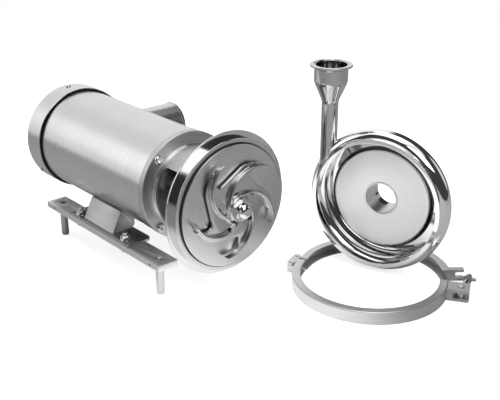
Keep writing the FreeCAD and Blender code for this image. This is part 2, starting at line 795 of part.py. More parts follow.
LANTERN_BORE = "lantern_radius - lantern_wall"
SEAT_REAR = "plate_back + seat_flange_thickness"
adapter = new_body("adapter")
revolve(adapter, outline(adapter, "adapter_outline", [
    (LANTERN_BORE, "plate_back"),
    ("seat_flange_radius", "plate_back"),
    ("seat_flange_radius", SEAT_REAR),
    ("lantern_radius", SEAT_REAR),
    ("lantern_radius", "face_flange_front - ring_height", "1.5"),
    ("ring_radius", "face_flange_front - ring_height"),
    ("ring_radius", "face_flange_front"),
    ("face_flange_radius", "face_flange_front", "0.8"),
    ("face_flange_radius", "face_flange_rear"),
    (LANTERN_BORE, "face_flange_rear"),
]), "adapter_turned")
extrude(adapter, outline(adapter, "window_outline", [
    ("window_front", "-window_half", "window_corner"),
    ("window_rear", "-window_half", "window_corner"),
    ("window_rear", "window_half", "window_corner"),
    ("window_front", "window_half", "window_corner"),
], "YZ_Plane"), "window_cut", "4 * lantern_radius", cut=True, symmetric=True)
extrude(adapter, circles(adapter, "adapter_hole", [
    ("bolt_circle * cos(45)", "bolt_circle * sin(45)", "bolt_radius + slip_gap"),
], "XZ_Plane", "-face_flange_front + 1"), "adapter_hole_cut", "face_flange_rear - face_flange_front + 2", cut=True)
around(adapter, [adapter.Tip], "adapter_holes", "4")
extrude(adapter, circles(adapter, "seat_hole", [
    ("0", "(lantern_radius + seat_flange_radius) / 2", "2.55"),
], "XZ_Plane", "-plate_back + 1"), "seat_hole_cut", "seat_flange_thickness + 2", cut=True)
around(adapter, [adapter.Tip], "seat_holes", "4")

adapter_bolts = new_body("adapter_bolts", placement("axis_x", "face_y", "shaft_height", "45", "0; 1; 0"))
revolve(adapter_bolts, outline(adapter_bolts, "adapter_bolt_outline", [
    ("bolt_circle", "face_flange_front - bolt_head_height + 2"),
    ("bolt_circle + 2.4", "face_flange_front - bolt_head_height + 2"),
    ("bolt_circle + 2.4", "face_flange_front - bolt_head_height"),
    ("bolt_circle + bolt_head_radius", "face_flange_front - bolt_head_height", "3"),
    ("bolt_circle + bolt_head_radius", "face_flange_front"),
    ("bolt_circle + bolt_radius", "face_flange_front"),
    ("bolt_circle + bolt_radius", "face_flange_rear + bolt_length - 2"),
    ("bolt_circle", "face_flange_rear + bolt_length - 2"),
], axis=("up", "bolt_circle")), "adapter_bolt_turned", own_axis=True)
around(adapter_bolts, [], "adapter_bolt_set", "4")

# Backplate, gasket and seal

GROOVE_BOTTOM = "plate_lip_radius - 1.5"
GROOVE_FRONT = "-register_depth - gasket_width"
backplate = new_body("backplate")
revolve(backplate, outline(backplate, "backplate_outline", [
    ("seal_pocket_radius", "-plate_front"),
    ("plate_lip_radius", "-plate_front", "0.8"),
    ("plate_lip_radius", GROOVE_FRONT),
    (GROOVE_BOTTOM, GROOVE_FRONT),
    (GROOVE_BOTTOM, "-register_depth"),
    ("register_radius", "-register_depth", "0.8"),
    ("register_radius", "0"),
    ("plate_rim_radius", "0", "0.6"),
    ("plate_rim_radius", "plate_rim_edge", "0.8"),
    ("plate_rim_root", "plate_back"),
    ("plate_seat_inner", "plate_back"),
    ("plate_seat_inner", "plate_thickness - plate_front"),
    ("plate_hub_radius", "plate_thickness - plate_front"),
    ("plate_hub_radius", "plate_hub_rear"),
    ("plate_bore", "plate_hub_rear"),
    ("plate_bore", "seal_pocket_depth - plate_front"),
    ("seal_pocket_radius", "seal_pocket_depth - plate_front"),
]), "backplate_turned")
extrude(backplate, circles(backplate, "backplate_screw_hole", [
    ("0", "(lantern_radius + seat_flange_radius) / 2", "2.55"),
], "XZ_Plane", "-plate_back - 1"), "backplate_screw_hole_cut", "11", cut=True, back=True)
around(backplate, [backplate.Tip], "backplate_screw_holes", "4")

seat_screws = new_body("backplate_screws", placement("axis_x", "face_y", "shaft_height", "90", "0; 1; 0"))
SEAT_CIRCLE = "(lantern_radius + seat_flange_radius) / 2"
revolve(seat_screws, outline(seat_screws, "seat_screw_outline", [
    (SEAT_CIRCLE, "plate_back - 8"),
    (SEAT_CIRCLE + " + 2.5", "plate_back - 8"),
    (SEAT_CIRCLE + " + 2.5", SEAT_REAR),
    (SEAT_CIRCLE + " + 4.2", SEAT_REAR),
    (SEAT_CIRCLE + " + 4.2", SEAT_REAR + " + 4", "0.6"),
    (SEAT_CIRCLE, SEAT_REAR + " + 4"),
], axis=("up", SEAT_CIRCLE)), "seat_screw_turned", own_axis=True)
around(seat_screws, [], "seat_screw_set", "4")

turned_part("casing_gasket", [
    (GROOVE_BOTTOM + " + slip_gap", GROOVE_FRONT + " + slip_gap"),
    (GROOVE_BOTTOM + " + gasket_height", GROOVE_FRONT + " + slip_gap", "0.9"),
    (GROOVE_BOTTOM + " + gasket_height", "-register_depth - slip_gap", "0.9"),
    (GROOVE_BOTTOM + " + slip_gap", "-register_depth - slip_gap"),
])
turned_part("seal_seat", [
    ("seal_inner", "-seal_face"),
    ("seal_flange_radius", "-seal_face"),
    ("seal_flange_radius", "seal_pocket_depth - plate_front - slip_gap"),
    ("plate_bore - slip_gap", "seal_pocket_depth - plate_front - slip_gap"),
    ("plate_bore - slip_gap", "plate_hub_rear - 4"),
    ("seal_inner", "plate_hub_rear - 4"),
])
turned_part("seal_ring", [
    ("stub_radius + slip_gap", "-seal_face - slip_gap"),
    ("seal_ring_radius", "-seal_face - slip_gap"),
    ("seal_ring_radius", "-seal_face - seal_ring_width"),
    ("stub_radius + slip_gap", "-seal_face - seal_ring_width"),
])
BELLOWS_FRONT = "-impeller_back + slip_gap"
BELLOWS_REAR = "-seal_face - seal_ring_width - slip_gap"
BELLOWS_MIDDLE = "-(impeller_back + seal_face + seal_ring_width) / 2"
turned_part("seal_bellows", [
    ("stub_radius + slip_gap", BELLOWS_FRONT),
    ("bellows_radius", BELLOWS_FRONT),
    ("bellows_radius", BELLOWS_FRONT + " + bellows_wall"),
    ("bellows_radius - bellows_fold", BELLOWS_MIDDLE),
    ("bellows_radius", BELLOWS_REAR + " - bellows_wall"),
    ("bellows_radius", BELLOWS_REAR),
    ("stub_radius + slip_gap", BELLOWS_REAR),
])

# Scalloped impeller and its nut

DISC_FRONT = "impeller_back + impeller_disc"
impeller = new_body("impeller", placement("axis_x", "face_y", "shaft_height", "-vane_first", "0; 1; 0"))
revolve(impeller, outline(impeller, "hub_outline", [
    ("impeller_seat_radius + slip_gap", "-impeller_back"),
    ("impeller_radius", "-impeller_back"),
    ("impeller_radius", "-impeller_back - impeller_edge"),
    ("web_root", "-(%s)" % DISC_FRONT),
    ("hub_radius + 4", "-(%s)" % DISC_FRONT, "6"),
    ("hub_radius", "-hub_front", "2"),
    ("impeller_seat_radius + slip_gap", "-hub_front"),
]), "hub_turned")


def vane_arc(sketch, radius, start, end):
    """Adds an arc about the vane's centre between two points on it."""
    centre = FreeCAD.Vector(number("vane_centre_x"), number("vane_centre_z"), 0)
    circle = Part.Circle(centre, FreeCAD.Vector(0, 0, 1), number(radius))
    arc = sketch.addGeometry(Part.ArcOfCircle(circle, circle.parameter(start), circle.parameter(end)), False)
    index = sketch.addConstraint(Sketcher.Constraint("Radius", arc, number(radius)))
    sketch.setExpression("Constraints[%d]" % index, bound(radius))
    hold(sketch, "DistanceX", arc, 3, "vane_centre_x")
    hold(sketch, "DistanceY", arc, 3, "vane_centre_z")
    return arc


def on_vane(bend, reach):
    """Gives the point where a circle about the vane's centre meets one about the axis."""
    cx, cz = number("vane_centre_x"), number("vane_centre_z")
    apart = math.hypot(cx, cz)
    along = (reach ** 2 - bend ** 2 + apart ** 2) / (2 * apart)
    aside = math.sqrt(reach ** 2 - along ** 2)
    ux, uz = cx / apart, cz / apart
    return FreeCAD.Vector(along * ux - aside * uz, along * uz + aside * ux, 0)


def vane_outline(body, label, inner_bend, outer_bend, inner_reach, outer_reach, height):
    """Draws a band that follows the vane between two distances from the axis."""
    sketch = new_sketch(body, label, "XZ_Plane", height)
    small, large = number(inner_bend), number(outer_bend)
    near, far = number(inner_reach), number(outer_reach)
    arcs = [
        vane_arc(sketch, inner_bend, on_vane(small, far), on_vane(small, near)),
        vane_arc(sketch, outer_bend, on_vane(large, far), on_vane(large, near)),
    ]
    for point, reach in ((1, outer_reach), (2, inner_reach)):
        ends = [on_vane(bend, number(reach)) for bend in (small, large)]
        cap = sketch.addGeometry(Part.LineSegment(*ends), False)
        sketch.addConstraint(Sketcher.Constraint("Coincident", arcs[0], point, cap, 1))
        sketch.addConstraint(Sketcher.Constraint("Coincident", arcs[1], point, cap, 2))
        for arc in arcs:
            index = sketch.addConstraint(Sketcher.Constraint("Distance", -1, 1, arc, point, number(reach)))
            sketch.setExpression("Constraints[%d]" % index, bound(reach))
    return sketch


extrude(impeller, outline(impeller, "scallop_outline", [
    turned("impeller_radius + 5", "0", "scallop_start"),
    turned("scallop_knee", "0", "scallop_knee_turn") + ("scallop_knee_round",),
    turned("scallop_root", "0", "scallop_root_turn") + ("scallop_root_round",),
    turned("scallop_heel", "0", "scallop_heel_turn") + ("scallop_heel_round",),
    turned("impeller_radius + 5", "0", "scallop_end"),
    turned("1.3 * impeller_radius", "0", "(scallop_start + scallop_end) / 2"),
], "XZ_Plane", "impeller_back - 1"), "scallop_cut", "impeller_disc + 3", cut=True, back=True)
around(impeller, [impeller.Tip], "scallops", "vane_count")
extrude(impeller, circles(impeller, "balance_hole", [
    turned("balance_circle", "0", "balance_turn") + ("balance_radius",),
], "XZ_Plane", "impeller_back - 1"), "balance_hole_cut", "impeller_disc + 8", cut=True, back=True)
around(impeller, [impeller.Tip], "balance_holes", "vane_count")
extrude(impeller, vane_outline(
    impeller, "vane_outline",
    "vane_bend_radius - vane_thickness / 2", "vane_bend_radius + vane_thickness / 2",
    "vane_inner_radius", "impeller_radius", "impeller_back"), "vane_pad", "vane_inner_height - impeller_back")
around(impeller, [impeller.Tip], "vanes", "vane_count")
revolve(impeller, outline(impeller, "vane_crown_outline", [
    ("hub_radius + 1", "-vane_inner_height - 2"),
    ("hub_radius + 5", "-vane_inner_height"),
    ("impeller_radius + 3", "-vane_tip_height"),
    ("impeller_radius + 3", "-hub_front - 5"),
    ("hub_radius + 1", "-hub_front - 5"),
]), "vane_crown_cut", cut=True)

nut = new_body("impeller_nut")
extrude(nut, outline(nut, "nut_hexagon", hexagon("nut_flats"), "XZ_Plane", "hub_front"), "nut_hexagon_pad", "nut_height")
revolve(nut, outline(nut, "nut_dome_outline", [
    ("0", "-hub_front - 2"),
    ("nut_dome", "-hub_front - 2"),
    ("nut_dome", "-hub_front - nut_height - 0.75 * nut_dome", "0.7 * nut_dome"),
    ("0", "-hub_front - nut_height - 0.75 * nut_dome"),
]), "nut_dome_turned")
revolve(nut, outline(nut, "nut_corner_outline", [
    ("nut_flats / 2 - 0.3", "-hub_front - nut_height - 0.1"),
    ("nut_flats / 2 + 3", "-hub_front - nut_height - 0.1"),
    ("nut_flats / 2 + 3", "-hub_front - nut_height + 2"),
]), "nut_corner_cut", cut=True)
revolve(nut, outline(nut, "nut_thread_outline", [
    ("0", "-hub_front + 1"),
    ("stub_thread_radius + slip_gap", "-hub_front + 1"),
    ("stub_thread_radius + slip_gap", "stub_tip - 1"),
    ("0", "stub_tip - 1"),
]), "nut_thread_cut", cut=True)

# Feet: bracket, rail, fasteners and legs on each side

FOOT_TOP = "rail_top + foot_thickness"
SIDE_RUN = "side_plate_rear - side_plate_front"


def foot_bracket(label, side):
    """Makes the welded foot: sloping side plate, two gussets and a flange."""
    body = new_body(label, FLOOR)
    flip = "(%d)" % side

    def out(text):
        return "%s * (%s)" % (flip, text)

    extrude(body, outline(body, label + "_flange", [
        (out("foot_outer"), "foot_front", "3"),
        (out("foot_inner"), "foot_front", "9"),
        (out("foot_inner"), "foot_rear", "9"),
        (out("foot_outer"), "foot_rear", "3"),
    ], "XY_Plane", "rail_top"), label + "_flange_pad", "foot_thickness")
    extrude(body, outline(body, label + "_side", [
        (out("side_plate_bottom"), "rail_top + foot_thickness - 1"),
        (out("side_plate_top"), "rail_top + side_plate_height"),
        (out("side_plate_top - side_plate_thickness"), "rail_top + side_plate_height"),
        (out("side_plate_bottom - side_plate_thickness"), "rail_top + foot_thickness - 1"),
    ], "XZ_Plane", "-side_plate_front"), label + "_side_pad", SIDE_RUN, back=True)
    for end, place in (("front", "side_plate_front"), ("rear", "side_plate_rear - gusset_thickness")):
        extrude(body, outline(body, "%s_%s_gusset" % (label, end), [
            (out("side_plate_bottom - side_plate_thickness / 2"), "rail_top + foot_thickness - 1"),
            (out("side_plate_top - side_plate_thickness / 2"), "rail_top + side_plate_height"),
            (out("gusset_inner"), "rail_top + side_plate_height"),
            (out("gusset_inner"), FOOT_TOP + " + 5", "4"),
            (out("gusset_inner + 5"), FOOT_TOP),
            (out("gusset_inner + 5"), "rail_top + foot_thickness - 1"),
        ], "XZ_Plane", "-(%s)" % place), "%s_%s_gusset_pad" % (label, end), "gusset_thickness", back=True)
    revolve(body, outline(body, label + "_saddle", [
        ("0", "side_plate_front - 5"),
        ("shell_radius + weld_gap", "side_plate_front - 5"),
        ("shell_radius + weld_gap", "side_plate_rear + 5"),
        ("0", "side_plate_rear + 5"),
    ], height="shaft_height"), label + "_saddle_cut", cut=True)
    extrude(body, circles(body, label + "_holes", [
        (out("foot_bolt_x"), "foot_bolt_front", "foot_bolt_radius + slip_gap"),
        (out("foot_bolt_x"), "foot_bolt_rear", "foot_bolt_radius + slip_gap"),
    ], "XY_Plane", "rail_top - 1"), label + "_holes_cut", "foot_thickness + 2", cut=True, back=True)
    return body


def rail(label, side):
    """Makes the flat rail that joins a foot to its two legs."""
    body = new_body(label, FLOOR)
    flip = "(%d)" % side
    inner = "%s * (rail_outer - rail_width)" % flip
    outer = "%s * rail_outer" % flip
    leg_x = "%s * (rail_outer - rail_width / 2)" % flip
    extrude(body, outline(body, label + "_bar", [
        (outer, "rail_front", "1.5"),
        (inner, "rail_front", "1.5"),
        (inner, "rail_rear", "1.5"),
        (outer, "rail_rear", "1.5"),
    ], "XY_Plane", "rail_top - rail_thickness"), label + "_bar_pad", "rail_thickness")
    extrude(body, circles(body, label + "_holes", [
        (leg_x, "rail_front + leg_inset", "leg_radius + slip_gap"),
        (leg_x, "rail_rear - leg_inset", "leg_radius + slip_gap"),
        ("%s * foot_bolt_x" % flip, "foot_bolt_front", "foot_bolt_radius + slip_gap"),
        ("%s * foot_bolt_x" % flip, "foot_bolt_rear", "foot_bolt_radius + slip_gap"),
    ], "XY_Plane", "rail_top - rail_thickness - 1"), label + "_holes_cut", "rail_thickness + 2", cut=True, back=True)
    extrude(body, circles(body, label + "_screw_holes", [
        ("rail_front + leg_inset", "rail_top - rail_thickness / 2", "set_screw_radius + slip_gap"),
        ("rail_rear - leg_inset", "rail_top - rail_thickness / 2", "set_screw_radius + slip_gap"),
    ], "YZ_Plane", "%s * (rail_outer + 1)" % flip), label + "_screw_holes_cut", "rail_width / 2", cut=True, back=side < 0)
    return body


foot_bracket("foot_bracket_left", -1)
foot_bracket("foot_bracket_right", 1)
rail("rail_left", -1)
rail("rail_right", 1)


def both_sides_both_ends(body, name, step):
    """Repeats a foot fastener at the rear and on the other side."""
    repeated(body, name + "_pair", step)
    mirrored(body, name + "_set", "YZ_Plane")


BOLT_STEP = "foot_bolt_rear - foot_bolt_front"
foot_bolts = new_body("foot_bolts", FLOOR)
extrude(foot_bolts, outline(foot_bolts, "foot_bolt_head", hexagon("foot_nut_flats", "-foot_bolt_x", "foot_bolt_front"),
                            "XY_Plane", "rail_top - rail_thickness - 5.3"), "foot_bolt_head_pad", "5.3")
extrude(foot_bolts, circles(foot_bolts, "foot_bolt_round", [
    ("-foot_bolt_x", "foot_bolt_front", "foot_bolt_radius"),
], "XY_Plane", "rail_top - rail_thickness - 1"), "foot_bolt_round_pad",
    "rail_thickness + foot_thickness + foot_washer_thickness + foot_nut_height + 5")
both_sides_both_ends(foot_bolts, "foot_bolt", BOLT_STEP)

foot_washers = new_body("foot_washers", FLOOR)
extrude(foot_washers, circles(foot_washers, "foot_washer_rings", [
    ("-foot_bolt_x", "foot_bolt_front", "foot_washer_radius"),
    ("-foot_bolt_x", "foot_bolt_front", "foot_bolt_radius + slip_gap"),
], "XY_Plane", FOOT_TOP), "foot_washer_pad", "foot_washer_thickness")
both_sides_both_ends(foot_washers, "foot_washer", BOLT_STEP)

foot_nuts = new_body("foot_nuts", FLOOR)
NUT_SEAT = FOOT_TOP + " + foot_washer_thickness"
extrude(foot_nuts, outline(foot_nuts, "foot_nut_hexagon", hexagon("foot_nut_flats", "-foot_bolt_x", "foot_bolt_front"),
                           "XY_Plane", NUT_SEAT), "foot_nut_pad", "foot_nut_height")
extrude(foot_nuts, circles(foot_nuts, "foot_nut_hole", [
    ("-foot_bolt_x", "foot_bolt_front", "foot_bolt_radius + slip_gap"),
], "XY_Plane", NUT_SEAT + " - 1"), "foot_nut_hole_cut", "foot_nut_height + 2", cut=True, back=True)
both_sides_both_ends(foot_nuts, "foot_nut", BOLT_STEP)

set_screws = new_body("leg_set_screws", FLOOR)
extrude(set_screws, circles(set_screws, "set_screw_round", [
    ("rail_front + leg_inset", "rail_top - rail_thickness / 2", "set_screw_radius"),
], "YZ_Plane", "-rail_outer + 1.5"), "set_screw_pad", "rail_width / 2 - leg_radius - 1.5 - face_gap")
both_sides_both_ends(set_screws, "set_screw", "rail_rear - rail_front - 2 * leg_inset")

for end, place in (("front", "rail_front + leg_inset"), ("rear", "rail_rear - leg_inset")):
    for side, flip in (("left", -1), ("right", 1)):
        name = "%s_%s_leg" % (end, side)
        turned_part(name, [
            ("0", "0"),
            ("leg_radius", "0", "1.2"),
            ("leg_radius", "rail_top", "0.6"),
            ("0", "rail_top"),
        ], placement("axis_x + (%d) * (rail_outer - rail_width / 2)" % flip, "face_y + " + place, "0"), "XZ_Plane")

# Casing: bowl, suction port and tangential discharge

BACK = "casing_depth + casing_wall"
bowl = new_body("casing_bowl", CASING)
revolve(bowl, outline(bowl, "bowl_outline", [
    ("port_outer + weld_gap", "-casing_depth", "1.2"),
    ("volute_radius", "-casing_depth", "shoulder_radius"),
    ("volute_radius", "-casing_register_depth"),
    ("casing_register", "-casing_register_depth"),
    ("casing_register", "0", "1"),
    ("rim_lip_radius", "0", "1.5"),
    ("rim_radius", "-rim_peak_depth", "2.5"),
    ("barrel_radius", "-rim_back_depth", "1.5"),
    ("barrel_radius", "-(%s)" % BACK, "shoulder_radius + casing_wall"),
    ("port_outer + weld_gap", "-(%s)" % BACK),
]), "bowl_turned")
extrude(bowl, circles(bowl, "discharge_passage", [
    ("tube_offset", "-passage_depth", "passage_radius"),
]), "discharge_passage_cut", "barrel_radius", cut=True, back=True)


def casing_tube(label, corners):
    """Makes a turned piece on the casing's own axis."""
    return turned_part(label, corners, CASING)


PORT_BORE = "port_outer - port_wall"
TUBE_END = "(%s) + suction_tube_length" % BACK
casing_tube("suction_tube", [
    (PORT_BORE, "-casing_depth", "0.6"),
    ("port_outer", "-casing_depth", "0.6"),
    ("port_outer", "-(%s)" % TUBE_END),
    (PORT_BORE, "-(%s)" % TUBE_END),
])
FERRULE_END = "(%s) + ferrule_neck_length" % TUBE_END
casing_tube("suction_ferrule", [
    (PORT_BORE, "-(%s)" % TUBE_END),
    ("port_outer", "-(%s)" % TUBE_END),
    ("port_outer", "-(%s) + ferrule_rim + ferrule_taper" % FERRULE_END, "1"),
    ("ferrule_radius", "-(%s) + ferrule_rim" % FERRULE_END, "0.6"),
    ("ferrule_radius", "-(%s)" % FERRULE_END, "0.6"),
    (PORT_BORE, "-(%s)" % FERRULE_END),
])

riser = new_body("discharge_tube", CASING)
extrude(riser, circles(riser, "riser_rings", [
    ("tube_offset", "-tube_depth", "tube_outer"),
    ("tube_offset", "-tube_depth", "tube_outer - tube_wall"),
]), "riser_pad", "tube_top")
extrude(riser, circles(riser, "riser_end", [
    ("tube_offset", "-tube_depth", "tube_outer"),
]), "riser_end_pad", "tube_wall")
revolve(riser, outline(riser, "bowl_relief", [
    ("0", "0"),
    ("rim_lip_radius + weld_gap", "0"),
    ("rim_radius + 3 * weld_gap", "-rim_peak_depth"),
    ("barrel_radius + 2 * weld_gap", "-rim_back_depth - weld_gap", "1.5"),
    ("barrel_radius + 2 * weld_gap", "-(%s) - 2 * weld_gap" % BACK, "shoulder_radius + casing_wall + 2 * weld_gap"),
    ("0", "-(%s) - 2 * weld_gap" % BACK),
]), "bowl_relief_cut", cut=True)

AT_RISER = placement(
    "axis_x + casing_x + cos(casing_turn) * tube_offset + sin(casing_turn) * tube_depth",
    "face_y + casing_y + sin(casing_turn) * tube_offset - cos(casing_turn) * tube_depth",
    "rim_radius", "casing_turn")
CONE_TOP = "tube_top + reducer_length"
turned_part("discharge_reducer", [
    ("tube_outer - tube_wall", "tube_top"),
    ("tube_outer", "tube_top"),
    ("tube_outer", "tube_top + reducer_straight", "reducer_round"),
    ("port_outer", CONE_TOP, "reducer_round"),
    ("port_outer", "neck_top"),
    (PORT_BORE, "neck_top"),
    (PORT_BORE, CONE_TOP, "reducer_round"),
    ("tube_outer - tube_wall", "tube_top + reducer_straight", "reducer_round"),
], AT_RISER, "XZ_Plane")
FERRULE_TOP = "neck_top + ferrule_rim + ferrule_taper + 2"
turned_part("discharge_ferrule", [
    (PORT_BORE, "neck_top"),
    ("port_outer", "neck_top"),
    ("port_outer", "neck_top + 2", "0.8"),
    ("ferrule_radius", "neck_top + 2 + ferrule_taper", "0.6"),
    ("ferrule_radius", FERRULE_TOP, "0.6"),
    ("port_outer + 1.2", FERRULE_TOP),
    ("port_outer + 0.6", FERRULE_TOP + " - 0.8"),
    (PORT_BORE, FERRULE_TOP + " - 0.8"),
], AT_RISER, "XZ_Plane")

# Clamp: two ring halves, hinge link, swing bolt and wing nut

NEAR_MID = "(hinge_angle + closure_angle + 360) / 2"
FAR_MID = "(hinge_angle + closure_angle) / 2"
NEAR_SWEEP = "closure_angle + 360 - hinge_angle - 2 * clamp_split"
FAR_SWEEP = "hinge_angle - closure_angle - 2 * clamp_split"
CLAMP_BASE = ("axis_x + clamp_x", "face_y + clamp_y", "0")
PIN_FAR = turned("hinge_pin_circle", "0", "hinge_angle - hinge_pin_half")
PIN_NEAR = turned("hinge_pin_circle", "0", "hinge_angle + hinge_pin_half")
PIVOT_ANGLE = "closure_angle - ear_back"


def clamp_half(label, middle, sweep, place):
    """Makes one half of the ring, swept evenly to both sides of its middle."""
    body = new_body(label, place)
    revolve(body, outline(body, label + "_section", [
        ("clamp_lip", "0", "0.6"),
        ("clamp_outer", "0", "1.6"),
        ("clamp_outer", "clamp_height", "1.6"),
        ("clamp_lip", "clamp_height", "0.6"),
        ("clamp_lip", "clamp_height - clamp_lip_edge"),
        ("clamp_groove", "clamp_height - clamp_groove_edge"),
        ("clamp_groove", "clamp_groove_edge"),
        ("clamp_lip", "clamp_lip_edge"),
    ], "XZ_Plane"), label + "_swept", sweep=sweep)
    return body


def block(body, label, angle, reach, half, low, high, rounding=None, root="clamp_outer - 2", shift="0"):
    """Pads a block that stands out of the ring at an angle."""
    tips = [("root", "-1"), ("tip", "-1"), ("tip", "1"), ("root", "1")]
    corners = []
    for where, way in tips:
        radial = reach if where == "tip" else root
        corner = turned(radial, "%s + (%s) * (%s)" % (shift, way, half), angle)
        corners.append(corner + (rounding,) if rounding and where == "tip" else corner)
    extrude(body, outline(body, label, corners, "XY_Plane", low), label + "_pad", "(%s) - (%s)" % (high, low))


def bore(body, label, x, y, radius, low="-1", high="clamp_height + 2"):
    """Cuts an upright round hole."""
    extrude(body, circles(body, label, [(x, y, radius)], "XY_Plane", low), label + "_cut", high, cut=True, back=True)


near_half = clamp_half("clamp_near_half", NEAR_MID, NEAR_SWEEP, placement(*CLAMP_BASE, turn=NEAR_MID))
NEAR_LUG = "hinge_angle + hinge_pin_half - (%s)" % NEAR_MID
EAR = "%s - (%s) + 360" % (PIVOT_ANGLE, NEAR_MID)
block(near_half, "near_lug", NEAR_LUG, "hinge_pin_circle + lug_half", "lug_half", "lug_low", "lug_high", "lug_half - 0.01")
bore(near_half, "near_lug_hole", *turned("hinge_pin_circle", "0", NEAR_LUG), "hinge_pin_radius + slip_gap")
block(near_half, "ear", EAR, "ear_tip", "ear_half", "ear_low", "ear_high", "3")
slot_corners = [
    turned("bolt_slot_root", "-ear_half - 2", EAR),
    turned("ear_tip + 5", "-ear_half - 2", EAR),
    turned("ear_tip + 5", "ear_half + 30", EAR),
    turned("bolt_slot_root", "ear_half + 30", EAR),
]
extrude(near_half, outline(near_half, "ear_slot", slot_corners, "XY_Plane", "bolt_slot_low"), "ear_slot_cut",
        "bolt_slot_high - bolt_slot_low", cut=True, back=True)
bore(near_half, "pivot_hole", *turned("pivot_circle", "0", EAR), "pivot_radius + slip_gap")

far_half = clamp_half("clamp_far_half", FAR_MID, FAR_SWEEP, FLOOR)
FAR_LUG = "hinge_angle - hinge_pin_half - (%s)" % FAR_MID
FORK = "closure_angle + fork_angle - (%s)" % FAR_MID
block(far_half, "far_lug", FAR_LUG, "hinge_pin_circle + lug_half", "lug_half", "lug_low", "lug_high", "lug_half - 0.01")
bore(far_half, "far_lug_hole", *turned("hinge_pin_circle", "0", FAR_LUG), "hinge_pin_radius + slip_gap")
block(far_half, "fork", FORK, "fork_tip", "fork_half", "ear_low", "ear_high", "2")
fork_slot = [
    turned("bolt_slot_root", "-fork_half - 2", FORK),
    turned("fork_tip + 5", "-fork_half - 2", FORK),
    turned("fork_tip + 5", "fork_half + 2", FORK),
    turned("bolt_slot_root", "fork_half + 2", FORK),
]
extrude(far_half, outline(far_half, "fork_slot", fork_slot, "XY_Plane", "bolt_slot_low"), "fork_slot_cut",
        "bolt_slot_high - bolt_slot_low", cut=True, back=True)
# The far half is turned to its place in the ring, then swung open about its hinge pin.
OPEN_SHIFT_X = "(%s) - (%s) * cos(clamp_open) + (%s) * sin(clamp_open)" % (PIN_FAR[0], PIN_FAR[0], PIN_FAR[1])
OPEN_SHIFT_Y = "(%s) - (%s) * sin(clamp_open) - (%s) * cos(clamp_open)" % (PIN_FAR[1], PIN_FAR[0], PIN_FAR[1])
far_half.setExpression("Placement", bound(placement(
    "axis_x + clamp_x + " + OPEN_SHIFT_X, "face_y + clamp_y + " + OPEN_SHIFT_Y, "0", "%s + clamp_open" % FAR_MID)))

link = new_body("hinge_link", placement(*CLAMP_BASE, turn="hinge_angle"))
PIN_ASIDE = "hinge_pin_circle * sin(hinge_pin_half)"
PIN_OUT = "hinge_pin_circle * cos(hinge_pin_half)"
for level, low, high in (
    ("low", "link_low", "lug_low - face_gap"),
    ("high", "lug_high + face_gap", "link_high"),
):
    extrude(link, outline(link, "link_%s_plate" % level, [
        ("%s - lug_half" % PIN_OUT, "-(%s) - lug_half" % PIN_ASIDE, "lug_half - 0.01"),
        ("%s + lug_half" % PIN_OUT, "-(%s) - lug_half" % PIN_ASIDE, "lug_half - 0.01"),
        ("%s + lug_half" % PIN_OUT, "%s + lug_half" % PIN_ASIDE, "lug_half - 0.01"),
        ("%s - lug_half" % PIN_OUT, "%s + lug_half" % PIN_ASIDE, "lug_half - 0.01"),
    ], "XY_Plane", low), "link_%s_plate_pad" % level, "%s - (%s)" % (high, low))
extrude(link, circles(link, "link_holes", [
    (PIN_OUT, "-(%s)" % PIN_ASIDE, "hinge_pin_radius + slip_gap"),
    (PIN_OUT, PIN_ASIDE, "hinge_pin_radius + slip_gap"),
], "XY_Plane", "0"), "link_holes_cut", "clamp_height", cut=True, back=True)

hinge_pins = new_body("hinge_pins", placement(*CLAMP_BASE, turn="hinge_angle"))
extrude(hinge_pins, circles(hinge_pins, "hinge_pin_rounds", [
    (PIN_OUT, "-(%s)" % PIN_ASIDE, "hinge_pin_radius"),
    (PIN_OUT, PIN_ASIDE, "hinge_pin_radius"),
], "XY_Plane", "1"), "hinge_pins_pad", "link_high")

PIVOT = turned("pivot_circle", "0", PIVOT_ANGLE)
AT_PIVOT = ("axis_x + clamp_x + " + PIVOT[0], "face_y + clamp_y + " + PIVOT[1])
swing_bolt = new_body("swing_bolt", placement(
    *AT_PIVOT, "clamp_height / 2", turn="%s + 90 + bolt_rest_turn" % PIVOT_ANGLE))
revolve(swing_bolt, outline(swing_bolt, "swing_bolt_round", [
    ("0", "0"),
    ("swing_bolt_length - 1", "0"),
    ("swing_bolt_length - 1", "swing_bolt_radius - 1"),
    ("swing_bolt_length - 2", "swing_bolt_radius"),
    ("0", "swing_bolt_radius"),
], axis=("across", "0")), "swing_bolt_turned", own_axis=True)
EYE_HALF = "(bolt_slot_high - bolt_slot_low) / 2 - face_gap"
extrude(swing_bolt, circles(swing_bolt, "swing_eye", [
    ("0", "0", "swing_eye_radius"),
]), "swing_eye_pad", "2 * (%s)" % EYE_HALF, symmetric=True)
extrude(swing_bolt, circles(swing_bolt, "swing_eye_hole", [
    ("0", "0", "pivot_radius + slip_gap"),
]), "swing_eye_hole_cut", "clamp_height", cut=True, symmetric=True)

turned_part("swing_bolt_pin", [
    ("0", "0.4"),
    ("pivot_radius", "0.4"),
    ("pivot_radius", "ear_high"),
    ("pivot_radius + 1.6", "ear_high"),
    ("pivot_radius + 1.6", "ear_high + 2", "1"),
    ("0", "ear_high + 2"),
], placement(*AT_PIVOT, "0"), "XZ_Plane")

